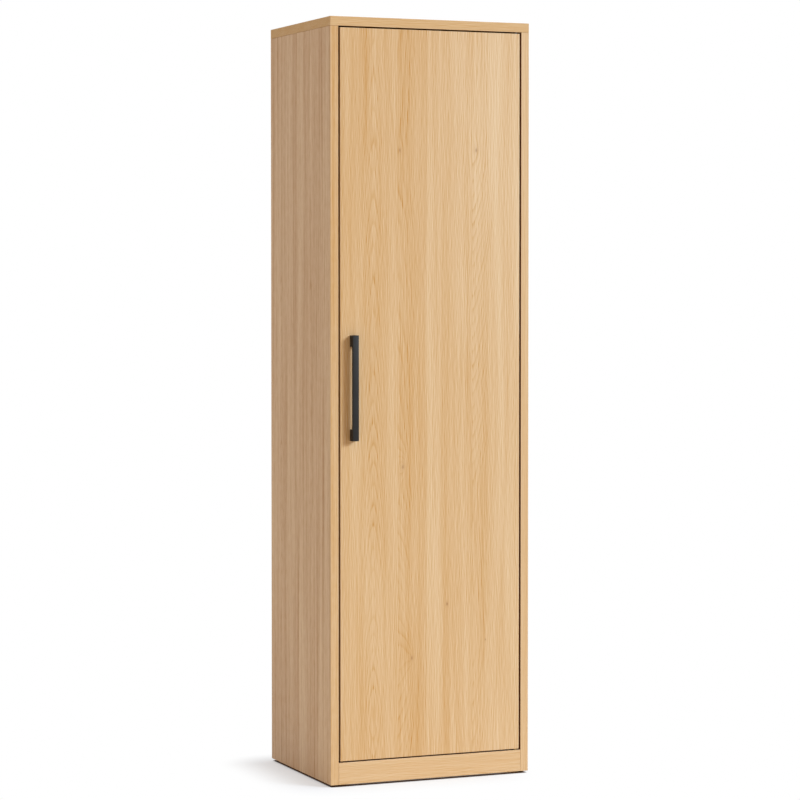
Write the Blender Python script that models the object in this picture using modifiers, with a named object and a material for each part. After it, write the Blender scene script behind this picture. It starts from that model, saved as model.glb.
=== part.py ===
"""Tall single-door gym locker in oak-veneered board, modelled piece by piece in metres, +Z up.

The front faces -Y. The origin is on the floor, under the middle of the whole outline, handle included.
"""

import math

import bmesh
import bpy
from mathutils import Matrix, Vector

# Overall size of the carcass
WIDTH = 0.510
DEPTH = 0.400
HEIGHT = 1.800

# Boards of the carcass
SIDE_BOARD = 0.020
TOP_BOARD = 0.022
FLOOR_BOARD = 0.018
PLINTH_BOARD = 0.020
PLINTH_HEIGHT = 0.052
BACK_BOARD = 0.004
BACK_INSET = 0.010
BACK_LIFT = 0.002
GROOVE_DEPTH = 0.007
BOARD_ARRIS = 0.0006

# Door and the reveal round it
DOOR_BOARD = 0.020
SIDE_REVEAL = 0.0045
TOP_REVEAL = 0.0035
BOTTOM_REVEAL = 0.003

# Shelf on pins
SHELF_HEIGHT = 1.480
SHELF_BOARD = 0.018
SHELF_SETBACK = 0.045
SHELF_REAR_PLAY = 0.0008
SHELF_END_PLAY = 0.0007
SHELF_PIN_RADIUS = 0.0025
SHELF_PIN_REACH = 0.010
SHELF_PIN_SETBACK = 0.040
SHELF_COLLAR_RADIUS = 0.004
SHELF_COLLAR = 0.001
SHELF_HOLE_DEPTH = 0.009
SHELF_HOLE_PITCH = 0.032
SHELF_HOLES_EACH_WAY = 3

# Rail that carries the coat hooks
RAIL_BOARD = 0.018
RAIL_HEIGHT = 0.090
RAIL_DROP = 0.060

# Coat hooks
HOOK_SPACING = 0.220
HOOK_PLATE_WIDTH = 0.024
HOOK_PLATE_HEIGHT = 0.066
HOOK_PLATE = 0.003
HOOK_SCREW_SPACING = 0.050
HOOK_WIRE_RADIUS = 0.0036
HOOK_BALL_RADIUS = 0.0058
UPPER_PRONG_RISE = 0.016
UPPER_PRONG_RUN = 0.014
UPPER_PRONG_BEND = 0.024
LOWER_PRONG_DROP = 0.014
LOWER_PRONG_RUN = 0.007
LOWER_PRONG_BEND = 0.013
PRONG_TURN = math.radians(80)

# Feet
FOOT_HEIGHT = 0.005
FOOT_RADIUS = 0.012
FOOT_OFFSET = 0.005
FOOT_SETBACK = 0.024
FOOT_CHAMFER = 0.0010
FOOT_NAIL_RADIUS = 0.0015
FOOT_NAIL_LENGTH = 0.010

# Dowels
DOWEL_RADIUS = 0.004
DOWEL_IN_FACE = 0.011
DOWEL_IN_END = 0.019
DOWEL_CHAMFER = 0.001
DOWEL_SETBACK = 0.060

# Pivot hinge at the door's right edge
PIVOT_INSET = 0.0065
PIVOT_DEPTH = 0.007
PIVOT_PLATE = 0.0025
PIVOT_PLATE_WIDTH = 0.009
PIVOT_PLATE_LENGTH = 0.046
PIVOT_SCREW_FIRST = 0.016
PIVOT_SCREW_SPACING = 0.016
PIVOT_SCREW_LENGTH = 0.014
PIN_RADIUS = 0.002
PIN_HEAD_RADIUS = 0.0032
PIN_HEAD = 0.0012
PIN_REACH = 0.010
PIN_CHAMFER = 0.0006
BUSH_RADIUS = 0.0036
BUSH_LENGTH = 0.012
WASHER_RADIUS = 0.005

# Magnetic catch under the top panel, and its strike on the door
CATCH_INSET = 0.012
CATCH_LENGTH = 0.050
CATCH_MAGNET_LENGTH = 0.028
CATCH_DEPTH = 0.015
CATCH_HEIGHT = 0.013
CATCH_FLANGE = 0.003
CATCH_EASE = 0.0008
CATCH_SCREW_LENGTH = 0.013
STRIKE = 0.0012
STRIKE_LENGTH = 0.032
STRIKE_HEIGHT = 0.012
STRIKE_DROP = 0.0025
STRIKE_CORNER = 0.002
STRIKE_SCREW_LENGTH = 0.012

# Bar handle
HANDLE_LENGTH = 0.247
HANDLE_WIDTH = 0.015
HANDLE_PROJECTION = 0.020
HANDLE_BAR = 0.007
HANDLE_POST = 0.027
HANDLE_INSET = 0.024
HANDLE_HEIGHT = 0.935
HANDLE_EASE = 0.0006
HANDLE_SCREW_RADIUS = 0.002
HANDLE_SCREW_HEAD_RADIUS = 0.004
HANDLE_SCREW_HEAD = 0.0024
HANDLE_SCREW_GRIP = 0.008

# Small wood screws
SCREW_RADIUS = 0.0014
SCREW_HEAD_RADIUS = 0.0029
SCREW_HEAD = 0.0016
SCREW_TIP = 0.003
HOOK_SCREW_LENGTH = 0.014

# Clearances
GAP = 0.0003
FIT = 0.0002
OVERCUT = 0.002
ROUND_STEPS = 12

# Planes that the pieces share, worked out from the sizes above
FRONT = (HANDLE_PROJECTION - DEPTH) / 2
BACK = FRONT + DEPTH
BACK_FACE = BACK - BACK_INSET - BACK_BOARD
LEFT = -WIDTH / 2
RIGHT = WIDTH / 2
INNER_LEFT = LEFT + SIDE_BOARD
INNER_RIGHT = RIGHT - SIDE_BOARD
WOOD_BOTTOM = FOOT_HEIGHT
DECK = WOOD_BOTTOM + PLINTH_HEIGHT
UNDER_TOP = HEIGHT - TOP_BOARD
DOOR_LEFT = INNER_LEFT + SIDE_REVEAL
DOOR_RIGHT = INNER_RIGHT - SIDE_REVEAL
DOOR_BOTTOM = DECK + BOTTOM_REVEAL
DOOR_TOP = UNDER_TOP - TOP_REVEAL
DOOR_BACK = FRONT + DOOR_BOARD
AXIS_X = DOOR_RIGHT - PIVOT_INSET
AXIS_Y = FRONT + PIVOT_DEPTH
SHELF_UNDER = SHELF_HEIGHT - SHELF_BOARD
SHELF_PIN_Z = SHELF_UNDER - GAP - SHELF_PIN_RADIUS
SHELF_PIN_FRONT = FRONT + SHELF_SETBACK + SHELF_PIN_SETBACK
SHELF_PIN_REAR = BACK_FACE - SHELF_PIN_SETBACK
RAIL_TOP = SHELF_UNDER - RAIL_DROP
RAIL_BOTTOM = RAIL_TOP - RAIL_HEIGHT
RAIL_MIDDLE = (RAIL_TOP + RAIL_BOTTOM) / 2
RAIL_REAR = BACK_FACE - GAP
RAIL_FRONT = RAIL_REAR - RAIL_BOARD
CATCH_FRONT = DOOR_BACK + GAP + STRIKE + GAP
CATCH_LEFT = INNER_LEFT + CATCH_INSET
CATCH_MIDDLE = CATCH_LEFT + CATCH_LENGTH / 2
STRIKE_TOP = DOOR_TOP - STRIKE_DROP
HANDLE_LEFT = DOOR_LEFT + HANDLE_INSET
HANDLE_MIDDLE = HANDLE_LEFT + HANDLE_WIDTH / 2
POST_FRONT = FRONT - HANDLE_PROJECTION + HANDLE_BAR + GAP

EAST = Vector((1, 0, 0))
NORTH = Vector((0, 1, 0))
UP = Vector((0, 0, 1))


def empty_scene():
    for old in list(bpy.data.objects):
        bpy.data.objects.remove(old, do_unlink=True)
    for old in list(bpy.data.collections):
        bpy.data.collections.remove(old)


def new_collection(name):
    collection = bpy.data.collections.new(name)
    bpy.context.scene.collection.children.link(collection)
    return collection


empty_scene()
PIECES = new_collection("gym_locker")
CUTTERS = new_collection("gym_locker_cutters")


def new_axis(name, location):
    axis = bpy.data.objects.new(name, None)
    axis.location = location
    axis.empty_display_size = 0.1
    PIECES.objects.link(axis)
    return axis


CARCASS = new_axis("carcass_origin", (0, 0, 0))
DOOR = new_axis("door_axis", (AXIS_X, AXIS_Y, 0))


def finish(name, colour, roughness, metallic=0.0):
    material = bpy.data.materials.new(name)
    material.use_nodes = True
    shader = material.node_tree.nodes["Principled BSDF"]
    shader.inputs["Base Color"].default_value = (*colour, 1)
    shader.inputs["Roughness"].default_value = roughness
    shader.inputs["Metallic"].default_value = metallic
    material.diffuse_color = (*colour, 1)
    return material


OAK = finish("oak_veneer", (0.71, 0.47, 0.25), 0.55)
HARDBOARD = finish("oak_print_hardboard", (0.62, 0.41, 0.22), 0.6)
BEECH = finish("beech_dowel", (0.68, 0.47, 0.29), 0.7)
BLACK_METAL = finish("black_metal", (0.04, 0.04, 0.042), 0.4, 0.6)
BLACK_NYLON = finish("black_nylon", (0.02, 0.02, 0.02), 0.6)
STEEL = finish("zinc_steel", (0.62, 0.62, 0.6), 0.35, 1.0)
BRASS = finish("brass", (0.68, 0.5, 0.22), 0.35, 1.0)
WHITE_PLASTIC = finish("white_plastic", (0.8, 0.79, 0.76), 0.45)


def piece(made, material, body):
    """Give a piece its finish, and hang it on its body's empty without moving it."""
    made.data.materials.append(material)
    made.parent = body
    made.location = made.location - body.location
    return made


def place(name, mesh, location):
    made = bpy.data.objects.new(name, mesh)
    made.location = location
    PIECES.objects.link(made)
    return made


def block(name, low, high):
    """A rectangular block between two corners, with its origin at its middle."""
    low, high = Vector(low), Vector(high)
    shape = bmesh.new()
    bmesh.ops.create_cube(shape, size=1)
    bmesh.ops.scale(shape, vec=high - low, verts=shape.verts)
    mesh = bpy.data.meshes.new(name)
    shape.to_mesh(mesh)
    shape.free()
    return place(name, mesh, (low + high) / 2)


def eased(made, width):
    """Round every edge of a block by a small Bevel."""
    bevel = made.modifiers.new("eased_edges", "BEVEL")
    bevel.width = width
    bevel.segments = 2
    return made


def board(name, low, high, body, material=OAK):
    return piece(eased(block(name, low, high), BOARD_ARRIS), material, body)


def rounded_plate(name, low, high, corner, along):
    """A plate whose corners, seen along one axis, are rounded to a radius."""
    made = block(name, low, high)
    shape = bmesh.new()
    shape.from_mesh(made.data)
    edges = []
    for edge in shape.edges:
        run = (edge.verts[1].co - edge.verts[0].co).normalized()
        if abs(run.dot(along)) > 0.9:
            edges.append(edge)
    bmesh.ops.bevel(shape, geom=edges, offset=corner, segments=5, profile=0.5, affect="EDGES")
    shape.to_mesh(made.data)
    shape.free()
    return made


def turned(name, profile, location, along, hollow=False):
    """Spin a half profile, listed down its outer side, about an axis that points along a vector."""
    count = len(profile)
    edges = [(i, i + 1) for i in range(count - 1)]
    if hollow:
        edges.append((count - 1, 0))
    mesh = bpy.data.meshes.new(name)
    mesh.from_pydata([(radius, 0, z) for radius, z in profile], edges, [])
    made = place(name, mesh, location)
    made.rotation_euler = along.to_track_quat("Z", "Y").to_euler()
    spin = made.modifiers.new("spin", "SCREW")
    spin.steps = ROUND_STEPS
    spin.render_steps = ROUND_STEPS
    spin.use_merge_vertices = True
    spin.merge_threshold = 0.000001
    return made


def as_cutter(made, collection):
    PIECES.objects.unlink(made)
    collection.objects.link(made)
    made.hide_render = True
    made.display_type = "WIRE"
    return made


def cut(target, tool):
    """Add a tool to the set that one Boolean takes out of the target."""
    name = target.name + "_cutters"
    tools = bpy.data.collections.get(name)
    if tools is None:
        tools = bpy.data.collections.new(name)
        CUTTERS.children.link(tools)
        boolean = target.modifiers.new("cuts", "BOOLEAN")
        boolean.operation = "DIFFERENCE"
        boolean.operand_type = "COLLECTION"
        boolean.collection = tools
    as_cutter(tool, tools)


def join(target, tool):
    """Fuse a shape to the target by a Boolean union. Joins come before cuts."""
    boolean = target.modifiers.new(tool.name, "BOOLEAN")
    boolean.operation = "UNION"
    boolean.object = as_cutter(tool, CUTTERS)


def pocket(target, low, high, name):
    cut(target, block(target.name + "_" + name, low, high))


def drill(target, spots, into, radius, depth, name):
    """Sink round holes into a face: one at each spot, along a vector that points into the piece."""
    shape = bmesh.new()
    turn = into.to_track_quat("Z", "Y").to_matrix().to_4x4()
    length = depth + OVERCUT
    for spot in spots:
        middle = Vector(spot) + into * (depth - OVERCUT) / 2
        bmesh.ops.create_cone(
            shape,
            cap_ends=True,
            segments=ROUND_STEPS,
            radius1=radius,
            radius2=radius,
            depth=length,
            matrix=Matrix.Translation(middle) @ turn,
        )
    mesh = bpy.data.meshes.new(target.name + "_" + name)
    shape.to_mesh(mesh)
    shape.free()
    cut(target, place(mesh.name, mesh, (0, 0, 0)))


def pan_screw(name, seat, into, sizes, body):
    """A pan-head screw whose head bears on a face at the seat."""
    radius, length, head_radius, head = sizes
    profile = [
        (0, head),
        (head_radius * 0.6, head),
        (head_radius, head * 0.4),
        (head_radius, 0),
        (radius, 0),
        (radius, SCREW_TIP - length),
        (0, -length),
    ]
    made = turned(name, profile, Vector(seat) - into * GAP, -into)
    return piece(made, STEEL, body)


def flat_screw_profile(length, play):
    """The half profile of a countersunk screw, or of the hole for one, grown by its play."""
    head = SCREW_HEAD_RADIUS + play
    shank = SCREW_RADIUS + play
    return [
        (0, play),
        (head, play),
        (head, 0),
        (shank, shank - head),
        (shank, SCREW_TIP - length),
        (0, -length - play),
    ]


def flat_screw(name, seat, into, length, body):
    """A countersunk screw with its head flush in a face."""
    head, shank = SCREW_HEAD_RADIUS, SCREW_RADIUS
    profile = [(0, 0), (head, 0), (shank, shank - head), (shank, SCREW_TIP - length), (0, -length)]
    made = turned(name, profile, Vector(seat), -into)
    return piece(made, STEEL, body)


def countersink(target, spots, into, length, name):
    for number, spot in enumerate(spots):
        profile = flat_screw_profile(length, FIT)
        tool = turned(f"{target.name}_{name}_{number}", profile, Vector(spot), -into)
        cut(target, tool)


def dowel(name, middle, along):
    """A beech dowel: half its run lies in a board's end and half in the face it meets."""
    half = (DOWEL_IN_FACE + DOWEL_IN_END) / 2 - GAP
    profile = [
        (0, half),
        (DOWEL_RADIUS - DOWEL_CHAMFER, half),
        (DOWEL_RADIUS, half - DOWEL_CHAMFER),
        (DOWEL_RADIUS, DOWEL_CHAMFER - half),
        (DOWEL_RADIUS - DOWEL_CHAMFER, -half),
        (0, -half),
    ]
    return piece(turned(name, profile, middle, along), BEECH, CARCASS)


def dowel_joint(name, seam, into_face, face_board, end_board):
    """Drill a face and a board's end at the seam between them, and put the dowel in."""
    drill(face_board, [seam], into_face, DOWEL_RADIUS + FIT, DOWEL_IN_FACE, name)
    drill(end_board, [seam], -into_face, DOWEL_RADIUS + FIT, DOWEL_IN_END, name)
    dowel(name, Vector(seam) + into_face * (DOWEL_IN_FACE - DOWEL_IN_END) / 2, into_face)


def side_panels():
    panels = {}
    for side, low, high in (("left", LEFT, INNER_LEFT), ("right", INNER_RIGHT, RIGHT)):
        panel = board(
            f"{side}_side_panel",
            (low, FRONT, WOOD_BOTTOM),
            (high, BACK, UNDER_TOP - GAP),
            CARCASS,
        )
        into = -EAST if side == "left" else EAST
        inner = INNER_LEFT if side == "left" else INNER_RIGHT
        ends = sorted((inner + into.x * GROOVE_DEPTH, inner - into.x * OVERCUT))
        pocket(
            panel,
            (ends[0], BACK_FACE - GAP, WOOD_BOTTOM - OVERCUT),
            (ends[1], BACK_FACE + BACK_BOARD + GAP, UNDER_TOP + OVERCUT),
            "back_groove",
        )
        steps = range(-SHELF_HOLES_EACH_WAY, SHELF_HOLES_EACH_WAY + 1)
        spots = []
        for y in (SHELF_PIN_FRONT, SHELF_PIN_REAR):
            for step in steps:
                spots.append((inner, y, SHELF_PIN_Z + step * SHELF_HOLE_PITCH))
        drill(panel, spots, into, SHELF_PIN_RADIUS + FIT, SHELF_HOLE_DEPTH, "shelf_holes")
        panels[side] = panel
    return panels


def top_panel():
    panel = board("top_panel", (LEFT, FRONT, UNDER_TOP), (RIGHT, BACK, HEIGHT), CARCASS)
    pocket(
        panel,
        (INNER_LEFT - GROOVE_DEPTH, BACK_FACE - GAP, UNDER_TOP - OVERCUT),
        (INNER_RIGHT + GROOVE_DEPTH, BACK_FACE + BACK_BOARD + GAP, UNDER_TOP + GROOVE_DEPTH),
        "back_groove",
    )
    return panel


def floor_panel():
    return board(
        "floor_panel",
        (INNER_LEFT + GAP, FRONT + PLINTH_BOARD + GAP, DECK - FLOOR_BOARD),
        (INNER_RIGHT - GAP, BACK_FACE - GAP, DECK),
        CARCASS,
    )


def back_panel():
    return board(
        "back_panel",
        (INNER_LEFT - GROOVE_DEPTH + GAP, BACK_FACE, WOOD_BOTTOM + BACK_LIFT),
        (INNER_RIGHT + GROOVE_DEPTH - GAP, BACK_FACE + BACK_BOARD, UNDER_TOP + GROOVE_DEPTH - GAP),
        CARCASS,
        HARDBOARD,
    )


def front_plinth():
    return board(
        "front_plinth",
        (INNER_LEFT + GAP, FRONT, WOOD_BOTTOM),
        (INNER_RIGHT - GAP, FRONT + PLINTH_BOARD, DECK),
        CARCASS,
    )


def rear_plinth():
    rear = BACK_FACE - GAP
    return board(
        "rear_plinth",
        (INNER_LEFT + GAP, rear - PLINTH_BOARD, WOOD_BOTTOM),
        (INNER_RIGHT - GAP, rear, DECK - FLOOR_BOARD - GAP),
        CARCASS,
    )


def hat_shelf():
    end = GAP + SHELF_COLLAR + SHELF_END_PLAY
    return board(
        "hat_shelf",
        (INNER_LEFT + end, FRONT + SHELF_SETBACK, SHELF_UNDER),
        (INNER_RIGHT - end, BACK_FACE - SHELF_REAR_PLAY, SHELF_HEIGHT),
        CARCASS,
    )


def shelf_pin(name, seat, into):
    """A steel shelf pin: a peg in the side panel, a collar on its face and a peg under the shelf."""
    collar = GAP + SHELF_COLLAR
    profile = [
        (0, collar + SHELF_PIN_REACH),
        (SHELF_PIN_RADIUS, collar + SHELF_PIN_REACH),
        (SHELF_PIN_RADIUS, collar),
        (SHELF_COLLAR_RADIUS, collar),
        (SHELF_COLLAR_RADIUS, GAP),
        (SHELF_PIN_RADIUS, GAP),
        (SHELF_PIN_RADIUS, GAP - SHELF_HOLE_DEPTH),
        (0, GAP - SHELF_HOLE_DEPTH),
    ]
    return piece(turned(name, profile, Vector(seat), -into), STEEL, CARCASS)


def shelf_pins():
    for side, x, into in (("left", INNER_LEFT, -EAST), ("right", INNER_RIGHT, EAST)):
        for end, y in (("front", SHELF_PIN_FRONT), ("rear", SHELF_PIN_REAR)):
            shelf_pin(f"shelf_pin_{end}_{side}", (x, y, SHELF_PIN_Z), into)


def hook_rail():
    return board(
        "hook_rail",
        (INNER_LEFT + GAP, RAIL_FRONT, RAIL_BOTTOM),
        (INNER_RIGHT - GAP, RAIL_REAR, RAIL_TOP),
        CARCASS,
    )


def prong(name, start, run, bend):
    """A round prong that runs forward from the hook plate and turns up: a straight and an arc."""
    points = [Vector(start), Vector(start) - NORTH * run]
    arc_steps = 6
    for step in range(1, arc_steps + 1):
        angle = PRONG_TURN * step / arc_steps
        points.append(points[1] - NORTH * bend * math.sin(angle) + UP * bend * (1 - math.cos(angle)))
    curve = bpy.data.curves.new(name, "CURVE")
    curve.dimensions = "3D"
    curve.bevel_depth = HOOK_WIRE_RADIUS
    curve.bevel_resolution = 2
    curve.use_fill_caps = True
    spline = curve.splines.new("POLY")
    spline.points.add(len(points) - 1)
    for point, where in zip(spline.points, points):
        point.co = (*where, 1)
    guide = place(name + "_curve", curve, (0, 0, 0))
    bpy.context.view_layer.update()
    solid = guide.evaluated_get(bpy.context.evaluated_depsgraph_get())
    mesh = bpy.data.meshes.new_from_object(solid)
    bpy.data.objects.remove(guide)
    shape = bmesh.new()
    shape.from_mesh(mesh)
    bmesh.ops.remove_doubles(shape, verts=shape.verts, dist=0.00001)
    shape.to_mesh(mesh)
    shape.free()
    return place(name, mesh, (0, 0, 0)), points[-1]


def prong_ball(name, middle):
    shape = bmesh.new()
    bmesh.ops.create_uvsphere(shape, u_segments=10, v_segments=6, radius=HOOK_BALL_RADIUS)
    mesh = bpy.data.meshes.new(name)
    shape.to_mesh(mesh)
    shape.free()
    return place(name, mesh, middle)


def coat_hook(name, x, rail):
    """A cast double hook: a round-ended plate with a long upper prong and a short lower one."""
    rear = RAIL_FRONT - GAP
    front = rear - HOOK_PLATE
    plate = rounded_plate(
        name,
        (x - HOOK_PLATE_WIDTH / 2, front, RAIL_MIDDLE - HOOK_PLATE_HEIGHT / 2),
        (x + HOOK_PLATE_WIDTH / 2, rear, RAIL_MIDDLE + HOOK_PLATE_HEIGHT / 2),
        HOOK_PLATE_WIDTH * 0.45,
        NORTH,
    )
    piece(plate, BLACK_METAL, CARCASS)
    root = front + HOOK_PLATE / 2
    arms = (
        ("upper", RAIL_MIDDLE + UPPER_PRONG_RISE, UPPER_PRONG_RUN, UPPER_PRONG_BEND),
        ("lower", RAIL_MIDDLE - LOWER_PRONG_DROP, LOWER_PRONG_RUN, LOWER_PRONG_BEND),
    )
    for arm, z, run, bend in arms:
        rod, tip = prong(f"{name}_{arm}_prong", (x, root, z), run, bend)
        join(plate, rod)
        join(plate, prong_ball(f"{name}_{arm}_ball", tip))
    sizes = (SCREW_RADIUS, HOOK_SCREW_LENGTH, SCREW_HEAD_RADIUS, SCREW_HEAD)
    for end, shift in (("upper", HOOK_SCREW_SPACING / 2), ("lower", -HOOK_SCREW_SPACING / 2)):
        seat = (x, front, RAIL_MIDDLE + shift)
        drill(plate, [seat], NORTH, SCREW_RADIUS + FIT, HOOK_PLATE + OVERCUT, end + "_screw_hole")
        drill(rail, [(x, RAIL_FRONT, seat[2])], NORTH, SCREW_RADIUS + FIT, HOOK_SCREW_LENGTH, f"{name}_{end}")
        pan_screw(f"{name}_screw_{end}", seat, NORTH, sizes, CARCASS)


def feet(panels):
    pad = FOOT_HEIGHT - GAP
    tip = FOOT_HEIGHT + FOOT_NAIL_LENGTH
    profile = [
        (0, tip),
        (FOOT_NAIL_RADIUS, tip - FOOT_NAIL_RADIUS),
        (FOOT_NAIL_RADIUS, pad),
        (FOOT_RADIUS, pad),
        (FOOT_RADIUS, FOOT_CHAMFER),
        (FOOT_RADIUS - FOOT_CHAMFER, 0),
        (0, 0),
    ]
    inset = SIDE_BOARD / 2 + FOOT_OFFSET
    for side, x in (("left", LEFT + inset), ("right", RIGHT - inset)):
        spots = []
        for end, y in (("front", FRONT + FOOT_SETBACK), ("rear", BACK - FOOT_SETBACK)):
            piece(turned(f"foot_{end}_{side}", profile, Vector((x, y, 0)), UP), BLACK_NYLON, CARCASS)
            spots.append((x, y, WOOD_BOTTOM))
        drill(panels[side], spots, UP, FOOT_NAIL_RADIUS + FIT, FOOT_NAIL_LENGTH + GAP, "foot_nails")


def carcass_dowels(panels, top, deck, plinth, rear_board, rail):
    rows = (("front", FRONT + DOWEL_SETBACK), ("rear", BACK_FACE - DOWEL_SETBACK))
    for side, into in (("left", -EAST), ("right", EAST)):
        panel = panels[side]
        inner = INNER_LEFT if side == "left" else INNER_RIGHT
        middle = inner + into.x * SIDE_BOARD / 2
        for end, y in rows:
            dowel_joint(f"top_dowel_{end}_{side}", (middle, y, UNDER_TOP), UP, top, panel)
            seam = (inner, y, DECK - FLOOR_BOARD / 2)
            dowel_joint(f"floor_dowel_{end}_{side}", seam, into, panel, deck)
        seam = (inner, FRONT + PLINTH_BOARD / 2, (WOOD_BOTTOM + DECK) / 2)
        dowel_joint(f"front_plinth_dowel_{side}", seam, into, panel, plinth)
        rear_middle = (WOOD_BOTTOM + DECK - FLOOR_BOARD - GAP) / 2
        seam = (inner, BACK_FACE - GAP - PLINTH_BOARD / 2, rear_middle)
        dowel_joint(f"rear_plinth_dowel_{side}", seam, into, panel, rear_board)
        seam = (inner, RAIL_REAR - RAIL_BOARD / 2, RAIL_MIDDLE)
        dowel_joint(f"hook_rail_dowel_{side}", seam, into, panel, rail)


def pivot_plate(name, face, into, carrier):
    """A steel plate let in flush with a face, with its riveted pin and two countersunk screws."""
    half = PIVOT_PLATE_WIDTH / 2
    right = AXIS_X + half
    left = right - PIVOT_PLATE_LENGTH
    depths = sorted((face, face + into.z * PIVOT_PLATE))
    plate = rounded_plate(
        f"{name}_pivot_plate",
        (left, AXIS_Y - half, depths[0]),
        (right, AXIS_Y + half, depths[1]),
        half * 0.9,
        UP,
    )
    piece(plate, STEEL, CARCASS)
    cut = sorted((face - into.z * OVERCUT, face + into.z * (PIVOT_PLATE + GAP)))
    pocket(
        carrier,
        (left - GAP, AXIS_Y - half - GAP, cut[0]),
        (right + GAP, AXIS_Y + half + GAP, cut[1]),
        f"{name}_pivot_housing",
    )
    on_axis = (AXIS_X, AXIS_Y, face)
    drill(plate, [on_axis], into, PIN_RADIUS + FIT, PIVOT_PLATE + OVERCUT, "pin_hole")
    head_depth = PIVOT_PLATE + GAP + PIN_HEAD + GAP
    drill(carrier, [on_axis], into, PIN_HEAD_RADIUS + FIT, head_depth, f"{name}_pin_head_hole")
    spots = []
    for number in range(2):
        spots.append((AXIS_X - PIVOT_SCREW_FIRST - number * PIVOT_SCREW_SPACING, AXIS_Y, face))
    countersink(plate, spots, into, PIVOT_SCREW_LENGTH, "screw_hole")
    drill(carrier, spots, into, SCREW_RADIUS + FIT, PIVOT_SCREW_LENGTH + GAP, f"{name}_pivot_screws")
    for number, spot in enumerate(spots):
        flat_screw(f"{name}_pivot_screw_{number + 1}", spot, into, PIVOT_SCREW_LENGTH, CARCASS)


def pivot_pin(name, face, into, reveal):
    """A pin on the hinge axis: its head lies behind the plate, and its tip reaches into the bush."""
    shoulder = -PIVOT_PLATE - GAP
    tip = reveal + PIN_REACH
    profile = [
        (0, tip),
        (PIN_RADIUS - PIN_CHAMFER, tip),
        (PIN_RADIUS, tip - PIN_CHAMFER),
        (PIN_RADIUS, shoulder),
        (PIN_HEAD_RADIUS, shoulder),
        (PIN_HEAD_RADIUS, shoulder - PIN_HEAD),
        (0, shoulder - PIN_HEAD),
    ]
    made = turned(f"{name}_pivot_pin", profile, Vector((AXIS_X, AXIS_Y, face)), -into)
    return piece(made, STEEL, CARCASS)


def ring(name, radius, bore, length, base, along, material, body):
    profile = [(radius, length), (radius, 0), (bore, 0), (bore, length)]
    return piece(turned(name, profile, Vector(base), along, hollow=True), material, body)


def pivot_hinge(top, plinth, door):
    pivot_plate("bottom", DECK, -UP, plinth)
    pivot_plate("top", UNDER_TOP, UP, top)
    pivot_pin("bottom", DECK, -UP, BOTTOM_REVEAL)
    pivot_pin("top", UNDER_TOP, UP, TOP_REVEAL)
    bore = PIN_RADIUS + FIT
    washer = BOTTOM_REVEAL - 2 * GAP
    ring("bottom_washer", WASHER_RADIUS, bore, washer, (AXIS_X, AXIS_Y, DECK + GAP), UP, BRASS, CARCASS)
    for name, z, into in (("bottom", DOOR_BOTTOM, UP), ("top", DOOR_TOP, -UP)):
        base = (AXIS_X, AXIS_Y, z)
        drill(door, [base], into, BUSH_RADIUS + FIT, BUSH_LENGTH + GAP, f"{name}_bush_hole")
        ring(f"{name}_bush", BUSH_RADIUS, bore, BUSH_LENGTH, base, into, BRASS, DOOR)


def door_panel():
    return board(
        "door_panel",
        (DOOR_LEFT, FRONT, DOOR_BOTTOM),
        (DOOR_RIGHT, DOOR_BACK, DOOR_TOP),
        DOOR,
    )


def door_handle(door):
    """A flat bar on two square posts, held by machine screws from behind the door."""
    bottom = HANDLE_HEIGHT - HANDLE_LENGTH / 2
    top = HANDLE_HEIGHT + HANDLE_LENGTH / 2
    right = HANDLE_LEFT + HANDLE_WIDTH
    bar_front = FRONT - HANDLE_PROJECTION
    bar = block("handle_bar", (HANDLE_LEFT, bar_front, bottom), (right, bar_front + HANDLE_BAR, top))
    piece(eased(bar, HANDLE_EASE), BLACK_METAL, DOOR)
    length = DOOR_BOARD + GAP + HANDLE_SCREW_GRIP
    sizes = (HANDLE_SCREW_RADIUS, length, HANDLE_SCREW_HEAD_RADIUS, HANDLE_SCREW_HEAD)
    for end, low in (("upper", top - HANDLE_POST), ("lower", bottom)):
        post = block(
            f"handle_post_{end}",
            (HANDLE_LEFT, POST_FRONT, low),
            (right, FRONT - GAP, low + HANDLE_POST),
        )
        piece(eased(post, HANDLE_EASE), BLACK_METAL, DOOR)
        z = low + HANDLE_POST / 2
        hole = HANDLE_SCREW_RADIUS + FIT
        drill(post, [(HANDLE_MIDDLE, FRONT - GAP, z)], -NORTH, hole, HANDLE_SCREW_GRIP + GAP, "screw_hole")
        through = DOOR_BOARD + OVERCUT
        drill(door, [(HANDLE_MIDDLE, DOOR_BACK, z)], -NORTH, hole, through, f"{end}_handle_hole")
        pan_screw(f"handle_screw_{end}", (HANDLE_MIDDLE, DOOR_BACK, z), -NORTH, sizes, DOOR)


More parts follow.
